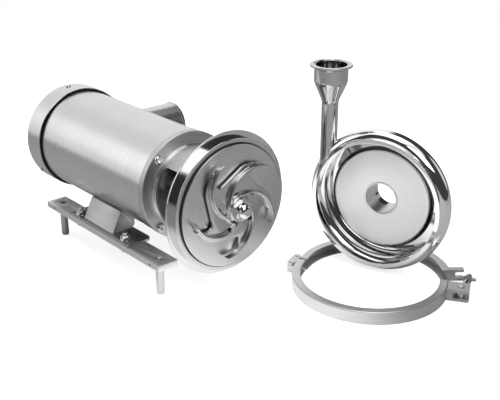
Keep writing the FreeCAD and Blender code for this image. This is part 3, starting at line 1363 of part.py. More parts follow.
wing_nut = new_body("wing_nut", placement(
    *AT_PIVOT, "clamp_height / 2", turn="%s + 90 + bolt_rest_turn" % PIVOT_ANGLE))
revolve(wing_nut, outline(wing_nut, "wing_hub", [
    ("wing_place - wing_hub_half", "swing_bolt_radius + slip_gap"),
    ("wing_place - wing_hub_half", "wing_hub_radius"),
    ("wing_place + wing_hub_half", "wing_hub_radius - 1"),
    ("wing_place + wing_hub_half", "swing_bolt_radius + slip_gap"),
], axis=("across", "0")), "wing_hub_turned", own_axis=True)
for side, way in (("near", "1"), ("far", "-1")):
    extrude(wing_nut, outline(wing_nut, side + "_wing", [
        ("wing_place - wing_hub_half + 1", "(%s) * (wing_hub_radius - 1.5)" % way),
        ("wing_place - wing_hub_half + 1.5", "(%s) * wing_reach" % way, "2"),
        ("wing_place + wing_hub_half", "(%s) * wing_reach" % way, "2"),
        ("wing_place + wing_hub_half - 1", "(%s) * (wing_hub_radius - 1.5)" % way),
    ]), side + "_wing_pad", "wing_thickness", symmetric=True)

# Check and export every part

doc.recompute()
faults = []
for item in doc.Objects:
    if "Invalid" in item.State or "Error" in item.State:
        faults.append("%s: %s" % (item.Label, item.getStatusString()))
bodies = [item for item in doc.Objects if item.TypeId == "PartDesign::Body"]
for body in bodies:
    if body.Shape.isNull() or not body.Shape.isValid() or not body.Shape.Solids:
        faults.append("%s: no valid solid" % body.Label)
if faults:
    raise RuntimeError("; ".join(faults))
for body in bodies:
    body.Shape.exportStep("parts/%s.step" % body.Label)
print("exported", len(bodies), "parts")
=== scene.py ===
"""Dresses a stainless centrifugal pump that stands opened beside its casing and clamp."""

import logging
import math
from dataclasses import dataclass, field
from enum import Enum

import bpy
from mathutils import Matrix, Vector


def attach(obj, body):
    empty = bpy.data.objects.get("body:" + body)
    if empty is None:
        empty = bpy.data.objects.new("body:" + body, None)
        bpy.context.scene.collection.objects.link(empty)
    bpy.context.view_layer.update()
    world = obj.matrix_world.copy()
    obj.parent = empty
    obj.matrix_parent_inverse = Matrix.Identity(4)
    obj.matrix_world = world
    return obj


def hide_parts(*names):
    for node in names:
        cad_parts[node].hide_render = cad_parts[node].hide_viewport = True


logging.basicConfig(level=logging.INFO, format="%(message)s")
LOG = logging.getLogger("pump")

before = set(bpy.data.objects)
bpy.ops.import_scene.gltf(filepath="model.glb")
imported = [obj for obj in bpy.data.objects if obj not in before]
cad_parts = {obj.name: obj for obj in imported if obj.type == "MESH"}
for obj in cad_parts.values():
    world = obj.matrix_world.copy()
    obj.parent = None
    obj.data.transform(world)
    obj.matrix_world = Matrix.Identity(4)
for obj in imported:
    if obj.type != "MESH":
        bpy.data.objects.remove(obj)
MM = 0.001

Tree = bpy.types.NodeTree
Socket = bpy.types.NodeSocket
Piece = bpy.types.Object
Place = tuple[float, float, float]

# Vector sums whose result is a number.
NUMBER_RESULTS = ("DOT_PRODUCT", "LENGTH", "DISTANCE")
# How fast marks change along their own direction, as a share of how fast across it.
ALONG_STRETCH = 0.02
# Fine marks of a steel finish.
MARK_DETAIL, MARK_ROUGHNESS = 3.0, 0.6
# Broad clouds that are laid over the marks.
CLOUD_SCALE, CLOUD_DETAIL, CLOUD_SHARE = 18.0, 2.0, 0.35
# The part of the marks and clouds that the colours are spread over.
BLEND_LOW, BLEND_HIGH = 0.45, 0.95
# Half the width of the soft edge between two zones of a turned face, in millimetres.
ZONE_SOFT_MM = 0.6
# Quarter turn that lays the long axis of a highlight across the marks.
TANGENT_TURN = 0.25
# Grain of the plain finishes.
GRAIN_DETAIL = 4.0
# Sockets of a colour mix: its share, its two colours and its result.
MIX_SHARE, MIX_LOW, MIX_HIGH, MIX_RESULT = 0, 6, 7, 2


def hex_colour(text: str) -> tuple[float, float, float, float]:
    """Turns an sRGB hex colour into linear light.

    Args:
        text: Six hex digits with a leading hash.

    Returns:
        Red, green, blue and alpha.
    """
    parts = [int(text[i:i + 2], 16) / 255 for i in (1, 3, 5)]
    linear = [part / 12.92 if part <= 0.04045 else ((part + 0.055) / 1.055) ** 2.4
              for part in parts]
    return linear[0], linear[1], linear[2], 1.0


def add_node(tree: Tree, kind: str, settings: dict | None = None,
             inputs: dict | None = None) -> bpy.types.Node:
    """Adds a node with its settings and what feeds its sockets.

    Args:
        tree: The node tree to add to.
        kind: The node's type name.
        settings: Attributes to set on the node.
        inputs: Values or output sockets by the name or number of an input.

    Returns:
        The new node.
    """
    node = tree.nodes.new(kind)
    for name, value in (settings or {}).items():
        setattr(node, name, value)
    for name, value in (inputs or {}).items():
        if isinstance(value, Socket):
            tree.links.new(value, node.inputs[name])
        else:
            node.inputs[name].default_value = value
    return node


def maths(tree: Tree, operation: str, *values: float | Socket) -> Socket:
    """Adds a sum of numbers and gives its result."""
    return add_node(tree, "ShaderNodeMath", {"operation": operation},
                    dict(enumerate(values))).outputs[0]


def vector_maths(tree: Tree, operation: str, *values: Place | Socket) -> Socket:
    """Adds a sum of vectors and gives its result, a vector or a number."""
    node = add_node(tree, "ShaderNodeVectorMath", {"operation": operation},
                    dict(enumerate(values)))
    return node.outputs["Value" if operation in NUMBER_RESULTS else "Vector"]


def ramp(tree: Tree, value: Socket, start: float, end: float, low: float = 0.0,
         high: float = 1.0, smooth: bool = False) -> Socket:
    """Spreads a value over a new range.

    Args:
        tree: The node tree to add to.
        value: The socket with the value.
        start: The value that gives low.
        end: The value that gives high.
        low: The new range's first end.
        high: The new range's other end.
        smooth: Eases the change at both ends.

    Returns:
        The socket with the new value.
    """
    settings = {"interpolation_type": "SMOOTHSTEP"} if smooth else {}
    return add_node(tree, "ShaderNodeMapRange", settings, {
        "Value": value, "From Min": start, "From Max": end, "To Min": low, "To Max": high,
    }).outputs[0]


def noise(tree: Tree, vector: Socket, scale: float, detail: float,
          roughness: float = 0.5) -> Socket:
    """Adds a noise texture and gives its value."""
    return add_node(tree, "ShaderNodeTexNoise", {"noise_dimensions": "3D"}, {
        "Vector": vector, "Scale": scale, "Detail": detail, "Roughness": roughness,
    }).outputs["Fac"]


def mix_colours(tree: Tree, share: Socket, low: tuple | Socket, high: tuple | Socket) -> Socket:
    """Mixes two colours by a share of the second."""
    return add_node(tree, "ShaderNodeMix", {"data_type": "RGBA"},
                    {MIX_SHARE: share, MIX_LOW: low, MIX_HIGH: high}).outputs[MIX_RESULT]


def object_place(tree: Tree) -> Socket:
    """Gives the place on the piece, in metres."""
    return add_node(tree, "ShaderNodeTexCoord").outputs["Object"]


def add_bump(tree: Tree, shader: bpy.types.Node, height: Socket, depth_mm: float) -> None:
    """Raises a surface by a height that runs from 0 to 1 over a depth."""
    bump = add_node(tree, "ShaderNodeBump", {}, {
        "Height": height, "Strength": 1.0, "Distance": depth_mm * MM,
    }).outputs["Normal"]
    tree.links.new(bump, shader.inputs["Normal"])


class Lay(Enum):
    """How the marks of a finish run over a piece."""

    ROUND_SHAFT = "round the motor's axis"
    ROUND_CASING = "round the casing's axis"
    ROUND_CLAMP = "round the clamp ring's axis"
    ALONG_RAIL = "along the rails"
    NONE = "no direction"


@dataclass(frozen=True)
class Axis:
    """A line that turned marks run round."""

    centre: Place
    direction: Place


def seen_from(tree: Tree, axis: Axis) -> tuple[Socket, Socket]:
    """Gives the place counted from an axis's centre, and its cross product with the axis."""
    moved = vector_maths(tree, "SUBTRACT", object_place(tree), axis.centre)
    return moved, vector_maths(tree, "CROSS_PRODUCT", moved, axis.direction)


def lay_vector(tree: Tree, lay: Lay, axes: dict[Lay, Axis]) -> Socket:
    """Builds coordinates that change quickly across a finish's marks and slowly along them.

    Args:
        tree: The material's node tree.
        lay: The way the marks run.
        axes: The axis of each turned lay.

    Returns:
        The output socket with the coordinates, in metres.
    """
    if lay is Lay.NONE:
        return object_place(tree)
    if lay is Lay.ALONG_RAIL:
        return add_node(tree, "ShaderNodeMapping", {}, {
            "Vector": object_place(tree), "Scale": (1.0, ALONG_STRETCH, 1.0),
        }).outputs[0]
    axis = axes[lay]
    moved, across = seen_from(tree, axis)
    along = vector_maths(tree, "DOT_PRODUCT", moved, axis.direction)
    radius = vector_maths(tree, "LENGTH", across)
    height = add_node(tree, "ShaderNodeSeparateXYZ", {}, {0: across}).outputs[2]
    slow = maths(tree, "MULTIPLY", height, ALONG_STRETCH)
    return add_node(tree, "ShaderNodeCombineXYZ", {}, {0: radius, 1: along, 2: slow}).outputs[0]


def mark_direction(tree: Tree, axis: Axis) -> Socket:
    """Gives the direction in which marks turned round an axis run."""
    return vector_maths(tree, "NORMALIZE", seen_from(tree, axis)[1])


def deselect() -> None:
    """Leaves nothing selected, because an operator acts on all that is."""
    bpy.ops.object.select_all(action="DESELECT")


def pick(piece: Piece) -> None:
    """Makes one piece the only one that operators act on.

    Args:
        piece: The piece to pick.
    """
    deselect()
    piece.select_set(True)
    bpy.context.view_layer.objects.active = piece


def apply_modifier(piece: Piece, kind: str, settings: dict) -> None:
    """Adds a modifier, sets it and applies it.

    Args:
        piece: The piece to change.
        kind: The modifier's type.
        settings: Attributes to set on the modifier.
    """
    pick(piece)
    modifier = piece.modifiers.new(kind.lower(), kind)
    for name, value in settings.items():
        setattr(modifier, name, value)
    bpy.ops.object.modifier_apply(modifier=modifier.name)


def settle(piece: Piece, smooth_degrees: float = 30.0) -> Piece:
    """Puts a piece's place into its mesh and smooths its round faces.

    Args:
        piece: The piece to settle.
        smooth_degrees: Edges sharper than this stay crisp.

    Returns:
        The same piece.
    """
    pick(piece)
    bpy.ops.object.transform_apply(location=True, rotation=True, scale=True)
    bpy.ops.object.shade_smooth_by_angle(angle=math.radians(smooth_degrees))
    return piece


def close_mesh(piece: Piece, gap_mm: float = 0.001) -> None:
    """Merges doubled points and turns every face outwards.

    Args:
        piece: The piece to close.
        gap_mm: Points closer than this are one.
    """
    pick(piece)
    bpy.ops.object.mode_set(mode="EDIT")
    bpy.ops.mesh.select_all(action="SELECT")
    bpy.ops.mesh.remove_doubles(threshold=gap_mm * MM)
    bpy.ops.mesh.normals_make_consistent(inside=False)
    bpy.ops.object.mode_set(mode="OBJECT")


def copy_node(node: str, name: str, gap_mm: float = 0.005) -> Piece:
    """Copies a CAD node's mesh into a new piece with its doubled points merged.

    Args:
        node: The node to copy.
        name: The new piece's name.
        gap_mm: Points closer than this are one.

    Returns:
        The new piece, without a material.
    """
    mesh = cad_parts[node].data.copy()
    mesh.materials.clear()
    piece = bpy.data.objects.new(name, mesh)
    bpy.context.scene.collection.objects.link(piece)
    close_mesh(piece, gap_mm)
    return piece


@dataclass(frozen=True)
class Corner:
    """A corner of a turned outline in millimetres, with its rounding."""

    radius: float
    along: float
    rounding: float = 0.0

    def place(self) -> Vector:
        """Gives the corner as a flat point."""
        return Vector((self.radius, self.along))


def rounded(corners: list[Corner], step_degrees: float = 6.0) -> list[Vector]:
    """Rounds the corners of a closed outline.

    The roundings at both ends of a side have to fit on it together, because an outline that
    crosses itself can't be cut.

    Args:
        corners: The outline's corners in order.
        step_degrees: The largest turn between two points of an arc.

    Returns:
        The points of the rounded outline.
    """
    points = []
    for i, corner in enumerate(corners):
        here = corner.place()
        if corner.rounding == 0:
            points.append(here)
            continue
        behind = (corners[i - 1].place() - here).normalized()
        ahead = (corners[(i + 1) % len(corners)].place() - here).normalized()
        half = ahead.angle(behind) / 2
        reach = corner.rounding / math.tan(half)
        centre = here + (ahead + behind).normalized() * (corner.rounding / math.sin(half))
        first = here + behind * reach - centre
        last = here + ahead * reach - centre
        sweep = math.atan2(first.x * last.y - first.y * last.x, first.dot(last))
        steps = max(2, math.ceil(abs(sweep) / math.radians(step_degrees)))
        start = math.atan2(first.y, first.x)
        for step in range(steps + 1):
            turn = start + sweep * step / steps
            points.append(centre + Vector((math.cos(turn), math.sin(turn))) * corner.rounding)
    return points


def turn_outline(name: str, corners: list[Corner], axis: Axis, steps: int = 180) -> Piece:
    """Turns a closed outline round an axis into one closed ring.

    Args:
        name: The new piece's name.
        corners: The outline, radius and distance along the axis.
        axis: The line to turn it round.
        steps: How many sides the ring has.

    Returns:
        The new piece.
    """
    centre, direction = Vector(axis.centre), Vector(axis.direction).normalized()
    side = direction.orthogonal().normalized()
    points = rounded(corners)
    deselect()
    bpy.ops.mesh.primitive_circle_add(vertices=len(points))
    piece = bpy.context.object
    piece.name = name
    for vertex, point in zip(piece.data.vertices, points):
        vertex.co = centre + (side * point.x + direction * point.y) * MM
    bpy.ops.object.mode_set(mode="EDIT")
    bpy.ops.mesh.select_all(action="SELECT")
    bpy.ops.mesh.spin(steps=steps, angle=math.tau, center=centre, axis=direction)
    bpy.ops.object.mode_set(mode="OBJECT")
    close_mesh(piece)
    return settle(piece)


@dataclass(frozen=True)
class SteelFinish:
    """A stainless or plated steel surface with fine directional marks."""

    name: str
    colour: str
    dark_colour: str
    roughness: float
    roughness_spread: float
    lay: Lay
    mark_mm: float
    depth_mm: float = 0.0
    anisotropy: float = 0.0
    zone_radius_mm: float = 0.0
    zone_roughness: float = 0.0

    def build(self, axes: dict[Lay, Axis]) -> bpy.types.Material:
        """Makes the material.

        Args:
            axes: The axis of each turned lay.

        Returns:
            The finished material.
        """
        material = bpy.data.materials.new(self.name)
        material.use_nodes = True
        tree = material.node_tree
        shader = tree.nodes["Principled BSDF"]
        shader.inputs["Metallic"].default_value = 1.0
        vector = lay_vector(tree, self.lay, axes)
        marks = noise(tree, vector, 1 / (self.mark_mm * MM), MARK_DETAIL, MARK_ROUGHNESS)
        clouds = noise(tree, object_place(tree), CLOUD_SCALE, CLOUD_DETAIL)
        blend = maths(tree, "MULTIPLY_ADD", clouds, CLOUD_SHARE, marks)
        if self.anisotropy and self.lay in axes:
            shader.inputs["Anisotropic"].default_value = self.anisotropy
            shader.inputs["Anisotropic Rotation"].default_value = TANGENT_TURN
            tree.links.new(mark_direction(tree, axes[self.lay]), shader.inputs["Tangent"])
        tone = ramp(tree, blend, BLEND_LOW, BLEND_HIGH)
        paint = mix_colours(tree, tone, hex_colour(self.dark_colour), hex_colour(self.colour))
        tree.links.new(paint, shader.inputs["Base Color"])
        rough = ramp(tree, blend, BLEND_LOW, BLEND_HIGH, self.roughness + self.roughness_spread,
                     self.roughness - self.roughness_spread)
        if self.zone_radius_mm > 0:
            rough = self.change_outside(tree, vector, rough)
        tree.links.new(rough, shader.inputs["Roughness"])
        if self.depth_mm > 0:
            add_bump(tree, shader, marks, self.depth_mm)
        return material

    def change_outside(self, tree: Tree, vector: Socket, rough: Socket) -> Socket:
        """Gives the finish its other roughness beyond the zone's radius.

        Args:
            tree: The material's node tree.
            vector: The lay's coordinates, whose first one is the radius.
            rough: The roughness within the zone.

        Returns:
            The socket with the roughness of the whole face.
        """
        radius = add_node(tree, "ShaderNodeSeparateXYZ", {}, {0: vector}).outputs[0]
        outside = ramp(tree, radius, (self.zone_radius_mm - ZONE_SOFT_MM) * MM,
                       (self.zone_radius_mm + ZONE_SOFT_MM) * MM, smooth=True)
        return add_node(tree, "ShaderNodeMix", {"data_type": "FLOAT"},
                        {0: outside, 2: rough, 3: self.zone_roughness}).outputs[0]


@dataclass(frozen=True)
class PlainFinish:
    """A non-metal surface, such as moulded rubber or enamelled wire."""

    name: str
    colour: str
    dark_colour: str
    roughness: float
    ior: float
    grain_mm: float
    depth_mm: float

    def build(self, axes: dict[Lay, Axis]) -> bpy.types.Material:
        """Makes the material.

        Args:
            axes: Not needed by this finish.

        Returns:
            The finished material.
        """
        material = bpy.data.materials.new(self.name)
        material.use_nodes = True
        tree = material.node_tree
        shader = tree.nodes["Principled BSDF"]
        shader.inputs["IOR"].default_value = self.ior
        shader.inputs["Roughness"].default_value = self.roughness
        grain = noise(tree, object_place(tree), 1 / (self.grain_mm * MM), GRAIN_DETAIL)
        paint = mix_colours(tree, grain, hex_colour(self.dark_colour), hex_colour(self.colour))
        tree.links.new(paint, shader.inputs["Base Color"])
        add_bump(tree, shader, grain, self.depth_mm)
        return material


Finish = SteelFinish | PlainFinish


@dataclass(frozen=True)
class PumpSizes:
    """Places that the whole pump shares, in millimetres.

    The axis and the face place the drive unit in the shared frame. The casing and the clamp
    are counted from them.
    """

    axis_x: float = -101.0
    face_y: float = -87.7
    shaft_height: float = 146.0
    casing_x: float = 211.0
    casing_y: float = -89.0
    casing_turn: float = 109.1
    casing_height: float = 112.0
    clamp_x: float = 177.0
    clamp_y: float = -118.0

    def point(self, x: float, y: float, z: float) -> Vector:
        """Turns a place counted from the backplate's rim and the floor into metres."""
        return Vector((x + self.axis_x, y + self.face_y, z)) * MM

    def axes(self) -> dict[Lay, Axis]:
        """Finds the axis that each turned finish runs round.

        Returns:
            The axis by its lay.
        """
        turn = math.radians(self.casing_turn)
        shaft = self.point(0, 0, self.shaft_height)
        casing = self.point(self.casing_x, self.casing_y, self.casing_height)
        clamp = self.point(self.clamp_x, self.clamp_y, 0)
        return {
            Lay.ROUND_SHAFT: Axis(tuple(shaft), (0.0, 1.0, 0.0)),
            Lay.ROUND_CASING: Axis(tuple(casing), (-math.sin(turn), math.cos(turn), 0.0)),
            Lay.ROUND_CLAMP: Axis(tuple(clamp), (0.0, 0.0, 1.0)),
        }


@dataclass
class Finishes:
    """Every finish of the pump, made once and looked up by name."""

    sizes: PumpSizes
    made: dict[str, bpy.types.Material] = field(default_factory=dict)

    # Rolled and brushed 304 sheet: faint hoop lines and one long soft highlight on the drum.
    SHELL = SteelFinish("brushed_stainless_drum", "#D8D8D9", "#CDCDCF", 0.26, 0.025,
                        Lay.ROUND_SHAFT, 1.1, 0.001, 0.35)
    # Turned 304 plate: fine tool rings spread the light, and its rim is buffed bright.
    TURNED = SteelFinish("turned_stainless_face", "#D8D8D9", "#C8C8CA", 0.3, 0.03,
                         Lay.ROUND_SHAFT, 0.9, 0.0015, 0.5, 96.5, 0.1)
    # Buffed 316L bowl: satin on the disc in its middle, close to a mirror beyond it.
    MIRROR = SteelFinish("buffed_stainless_bowl", "#F4F4F4", "#ECECED", 0.4, 0.02,
                         Lay.ROUND_CASING, 2.5, 0.0012, 0.0, 79.0, 0.06)
    # Painted shade: dark, dull steel in the root of the bowl's channel, where it lies in shade.
    ROOT_SHADE = SteelFinish("painted_shade_channel_root", "#5E5E5F", "#4C4C4D", 0.22, 0.04,
                       Lay.ROUND_CASING, 1.5, 0.002)
    # Buffed 316L tube, close to a mirror.
    TUBE = SteelFinish("buffed_stainless_tube", "#CBCBCC", "#C0C0C1", 0.1, 0.02,
                       Lay.NONE, 2.5, 0.0006)
    # Reamed bore of the suction port, soft to the light.
    BORE = SteelFinish("reamed_stainless_bore", "#ECECED", "#DCDCDD", 0.42, 0.04,
                       Lay.ROUND_CASING, 1.2, 0.002)
    # Buffed small parts.
    POLISHED = SteelFinish("buffed_stainless_detail", "#E0E0E0", "#D4D4D5", 0.12, 0.02,
                           Lay.NONE, 2.0, 0.0005)
    # Investment-cast and satin-finished 316L of the impeller.
    VANES = SteelFinish("satin_cast_stainless", "#CACACB", "#BABABC", 0.24, 0.03,
                        Lay.NONE, 1.6, 0.001)
    # Cast and turned 304: grey and even.
    CAST = SteelFinish("blasted_stainless_casting", "#CDCDCE", "#BABABC", 0.42, 0.04,
                       Lay.ROUND_SHAFT, 1.2, 0.003, 0.3)
    # Investment-cast clamp, tumbled to a satin sheen.
    TUMBLED = SteelFinish("tumbled_stainless_clamp", "#D8D8D7", "#C8C8C7", 0.4, 0.04,
                          Lay.ROUND_CLAMP, 1.2, 0.003)
    # Ground flat bar with long grain along its length.
    # Its pale colour is lifted as painted light, making up for the dark motor underside its top
    # reflects.
    BAR = SteelFinish("ground_stainless_bar", "#EAEAE9", "#DADAD9", 0.42, 0.04,
                      Lay.ALONG_RAIL, 0.8, 0.003)
    # Drawn round rod of the legs.
    ROD = SteelFinish("drawn_stainless_rod", "#D0D0CF", "#C0C0BF", 0.26, 0.03,
                      Lay.NONE, 1.2, 0.001)
    # Folded 2B sheet of the feet, greyer than the bar partly by its own dull tone.
    # Its colour is also darkened as painted shade for the dim surroundings it reflects.
    SHEET = SteelFinish("folded_stainless_sheet", "#AAAAAB", "#9C9C9D", 0.32, 0.03,
                        Lay.ALONG_RAIL, 1.4, 0.002)
    # Bright fasteners with a fine machined grain.
    FASTENER = SteelFinish("machined_stainless_fastener", "#E0E0DE", "#CFCFCD", 0.14, 0.03,
                           Lay.NONE, 0.9, 0.001)
    # Moulded nitrile: near black and soft to the light.
    RUBBER = PlainFinish("moulded_nitrile_rubber", "#1A1A1B", "#101011", 0.55, 1.52, 0.8, 0.01)
    # Laminated core steel, grey and dull.
    LAMINATION = SteelFinish("laminated_core_steel", "#6A6A6C", "#4C4C4E", 0.5, 0.05,
                             Lay.ROUND_SHAFT, 0.5, 0.02)
    # Enamelled copper wire of the end turns.
    WIRE = PlainFinish("enamelled_copper_wire", "#8A4A24", "#6B3517", 0.35, 1.55, 0.9, 0.05)
    # Glass-filled nylon of the fan.
    NYLON = PlainFinish("glass_filled_nylon", "#1D1D1F", "#141416", 0.5, 1.53, 0.5, 0.01)
    # Lapped alumina seal seat.
    CERAMIC = PlainFinish("lapped_alumina", "#E9E6DC", "#DFDBD0", 0.25, 1.76, 1.0, 0.002)
    # Resin-bonded carbon of the turning seal face.
    CARBON = PlainFinish("bonded_carbon", "#232325", "#1A1A1C", 0.35, 1.6, 0.5, 0.004)

    def get(self, finish: Finish) -> bpy.types.Material:
        """Gives a finish's material, making it the first time.

        Args:
            finish: The finish to look up.

        Returns:
            Its material.
        """
        if finish.name not in self.made:
            self.made[finish.name] = finish.build(self.sizes.axes())
        return self.made[finish.name]

    def dress(self, node: str, finish: Finish) -> None:
        """Puts a finish on every slot of a carried-over node.

        Args:
            node: The node's name.
            finish: The finish it gets.
        """
        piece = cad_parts[node]
        material = self.get(finish)
        if not piece.material_slots:
            piece.data.materials.append(material)
        for slot in piece.material_slots:
            slot.material = material
        LOG.info("%s: %s", node, finish.name)


FINISHED_NODES = {
    Finishes.SHELL: ("motor_shell", "front_endbell", "fan_cover", "conduit_box",
                     "conduit_box_cover"),
    Finishes.CAST: ("rear_endbell", "adapter"),
    Finishes.FASTENER: ("fan_cover_screws", "conduit_cover_screws", "collar_screw",
                        "adapter_bolts", "backplate_screws", "foot_bolts", "foot_washers",
                        "foot_nuts", "leg_set_screws", "hinge_pins", "swing_bolt",
                        "swing_bolt_pin"),
    Finishes.LAMINATION: ("stator_core", "rotor_core"),
    Finishes.WIRE: ("stator_windings",),
    Finishes.TURNED: ("motor_shaft", "front_bearing_inner", "front_bearing_outer",
                      "rear_bearing_inner", "rear_bearing_outer", "stub_shaft", "shaft_collar",
                      "backplate"),
    Finishes.NYLON: ("cooling_fan",),
    Finishes.RUBBER: ("casing_gasket", "seal_bellows"),
    Finishes.CERAMIC: ("seal_seat",),
    Finishes.CARBON: ("seal_ring",),
    Finishes.VANES: ("impeller",),
    Finishes.POLISHED: ("impeller_nut",),
    Finishes.SHEET: ("foot_bracket_left", "foot_bracket_right"),
    Finishes.BAR: ("rail_left", "rail_right"),
    Finishes.ROD: ("front_left_leg", "front_right_leg", "rear_left_leg", "rear_right_leg"),
    Finishes.MIRROR: ("casing_bowl",),
    Finishes.BORE: ("suction_tube",),
    Finishes.TUBE: ("suction_ferrule", "discharge_tube", "discharge_reducer",
                    "discharge_ferrule"),
    Finishes.TUMBLED: ("clamp_near_half", "clamp_far_half", "hinge_link", "wing_nut"),
}


@dataclass
class Workbench:
    """Finishes each new piece and joins it to the body that carries it."""

    sizes: PumpSizes
    finishes: Finishes

    def hand_over(self, piece: Piece, finish: Finish, body: str, slot: str,
                  *nodes: str) -> None:
        """Dresses a piece, joins it to the body that carries it and hides the nodes it
        replaces.

        Args:
            piece: The finished shape.
            finish: The finish it gets.
            body: The CAD body that carries it.
            slot: Not used.
            nodes: The CAD nodes it replaces.
        """
        piece.data.materials.clear()
        piece.data.materials.append(self.finishes.get(finish))
        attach(piece, body)
        if nodes:
            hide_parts(*nodes)
        LOG.info("%s: %s on %s", piece.name, finish.name, body)

    def cut(self, piece: Piece, tool: Piece) -> None:
        """Cuts one shape out of a piece and throws the tool away.

        Args:
            piece: The piece to cut.
            tool: The shape to take out of it.

        Raises:
            ValueError: Nothing is left, as when an outline crosses itself.
        """
        apply_modifier(piece, "BOOLEAN",
                       {"operation": "DIFFERENCE", "object": tool, "solver": "EXACT"})
        bpy.data.objects.remove(tool)
        if not piece.data.polygons:
            raise ValueError("cutting %s left nothing of it" % piece.name)

    def cut_socket(self, piece: Piece, mouth: Vector, inwards: Vector, flats_mm: float,
                   depth_mm: float) -> None:
        """Cuts a hexagon socket.

        Args:
            piece: The screw or leg to cut.
            mouth: The middle of the socket's mouth.
            inwards: The way into the piece.
            flats_mm: The socket's width across flats.
            depth_mm: How deep it goes.
        """
        deselect()
        bpy.ops.mesh.primitive_cylinder_add(
            vertices=6, radius=flats_mm / math.sqrt(3) * MM, depth=2 * depth_mm * MM,
            location=mouth, rotation=inwards.to_track_quat("Z", "Y").to_euler())
        tool = bpy.context.object
        settle(tool)
        self.cut(piece, tool)

    def copy_piece(self, piece: Piece, name: str, shift: Vector) -> Piece:
        """Copies a piece with its own mesh.

        Args:
            piece: The piece to copy.
            name: The copy's name.
            shift: How far the copy is moved.

        Returns:
            The copy.
        """
        pick(piece)
        bpy.ops.object.duplicate(linked=False)
        twin = bpy.context.object
        twin.name = name
        bpy.ops.transform.translate(value=shift)
        return settle(twin)


@dataclass
class Rotor:
    """The turning group seen at the front: the cast impeller."""

    bench: Workbench
    voxel_mm: float = 0.7
    smooth_steps: int = 3
    smooth_share: float = 0.5
    smooth_degrees: float = 180.0

    def build(self) -> None:
        """Rounds the casting's edges and fills its inner corners, as casting leaves them."""
        piece = copy_node("impeller", "impeller_casting")
        apply_modifier(piece, "REMESH", {"mode": "VOXEL", "voxel_size": self.voxel_mm * MM})
        apply_modifier(piece, "SMOOTH",
                       {"factor": self.smooth_share, "iterations": self.smooth_steps})
        settle(piece, self.smooth_degrees)
        self.bench.hand_over(piece, Finishes.VANES, "rotor", "cast_stainless", "impeller")


@dataclass
class DriveUnit:
    """Small bright details of the motor and the lantern."""

    bench: Workbench
    bolt_offset: float = 52.75
    head_radius: float = 6.6
    head_front: float = 84.0
    head_back: float = 89.0
    head_round: float = 2.4
    shank_radius: float = 4.6
    shank_end: float = 117.0
    shank_round: float = 0.8
    screw_steps: int = 48
    socket_flats: float = 5.0
    socket_depth: float = 3.0
    bead_radius: float = 65.2
    bead_sunk: float = 2.0
    bead_half: float = 1.5
    bead_round: float = 1.2
    root_bead_at: float = 85.4
    inner_bead_at: float = 81.8

    def build_bolts(self) -> None:
        """Turns one domed socket screw and copies it to the flange's four corners."""
        sizes = self.bench.sizes
        place = sizes.point(-self.bolt_offset, 0, sizes.shaft_height - self.bolt_offset)
        screw = turn_outline("adapter_screws_with_sockets", [
            Corner(0, self.head_front),
            Corner(self.head_radius, self.head_front, self.head_round),
            Corner(self.head_radius, self.head_back),
            Corner(self.shank_radius, self.head_back),
            Corner(self.shank_radius, self.shank_end, self.shank_round),
            Corner(0, self.shank_end),
        ], Axis(tuple(place), (0.0, 1.0, 0.0)), self.screw_steps)
        mouth = place + Vector((0, self.head_front * MM, 0))
        self.bench.cut_socket(screw, mouth, Vector((0, 1, 0)), self.socket_flats,
                              self.socket_depth)
        step = 2 * self.bolt_offset * MM
        twins = [self.bench.copy_piece(screw, "adapter_screw_%d" % i, Vector(shift) * step)
                 for i, shift in enumerate([(1, 0, 0), (0, 0, 1), (1, 0, 1)])]
        pick(screw)
        for twin in twins:
            twin.select_set(True)
        bpy.ops.object.join()
        self.bench.hand_over(screw, Finishes.FASTENER, "drive_unit", "zinc_steel",
                             "adapter_bolts")

    def build_beads(self) -> None:
        """Lays the ground weld beads round the root of the lantern."""
        sizes = self.bench.sizes
        axis = Axis(tuple(sizes.point(0, 0, sizes.shaft_height)), (0.0, 1.0, 0.0))
        for name, along in (("lantern_root_bead", self.root_bead_at),
                            ("lantern_inner_bead", self.inner_bead_at)):
            bead = turn_outline(name, [
                Corner(self.bead_radius - self.bead_sunk, along - self.bead_half),
                Corner(self.bead_radius, along - self.bead_half, self.bead_round),
                Corner(self.bead_radius, along + self.bead_half, self.bead_round),
                Corner(self.bead_radius - self.bead_sunk, along + self.bead_half),
            ], axis)
            self.bench.hand_over(bead, Finishes.POLISHED, "drive_unit", "polished_stainless")


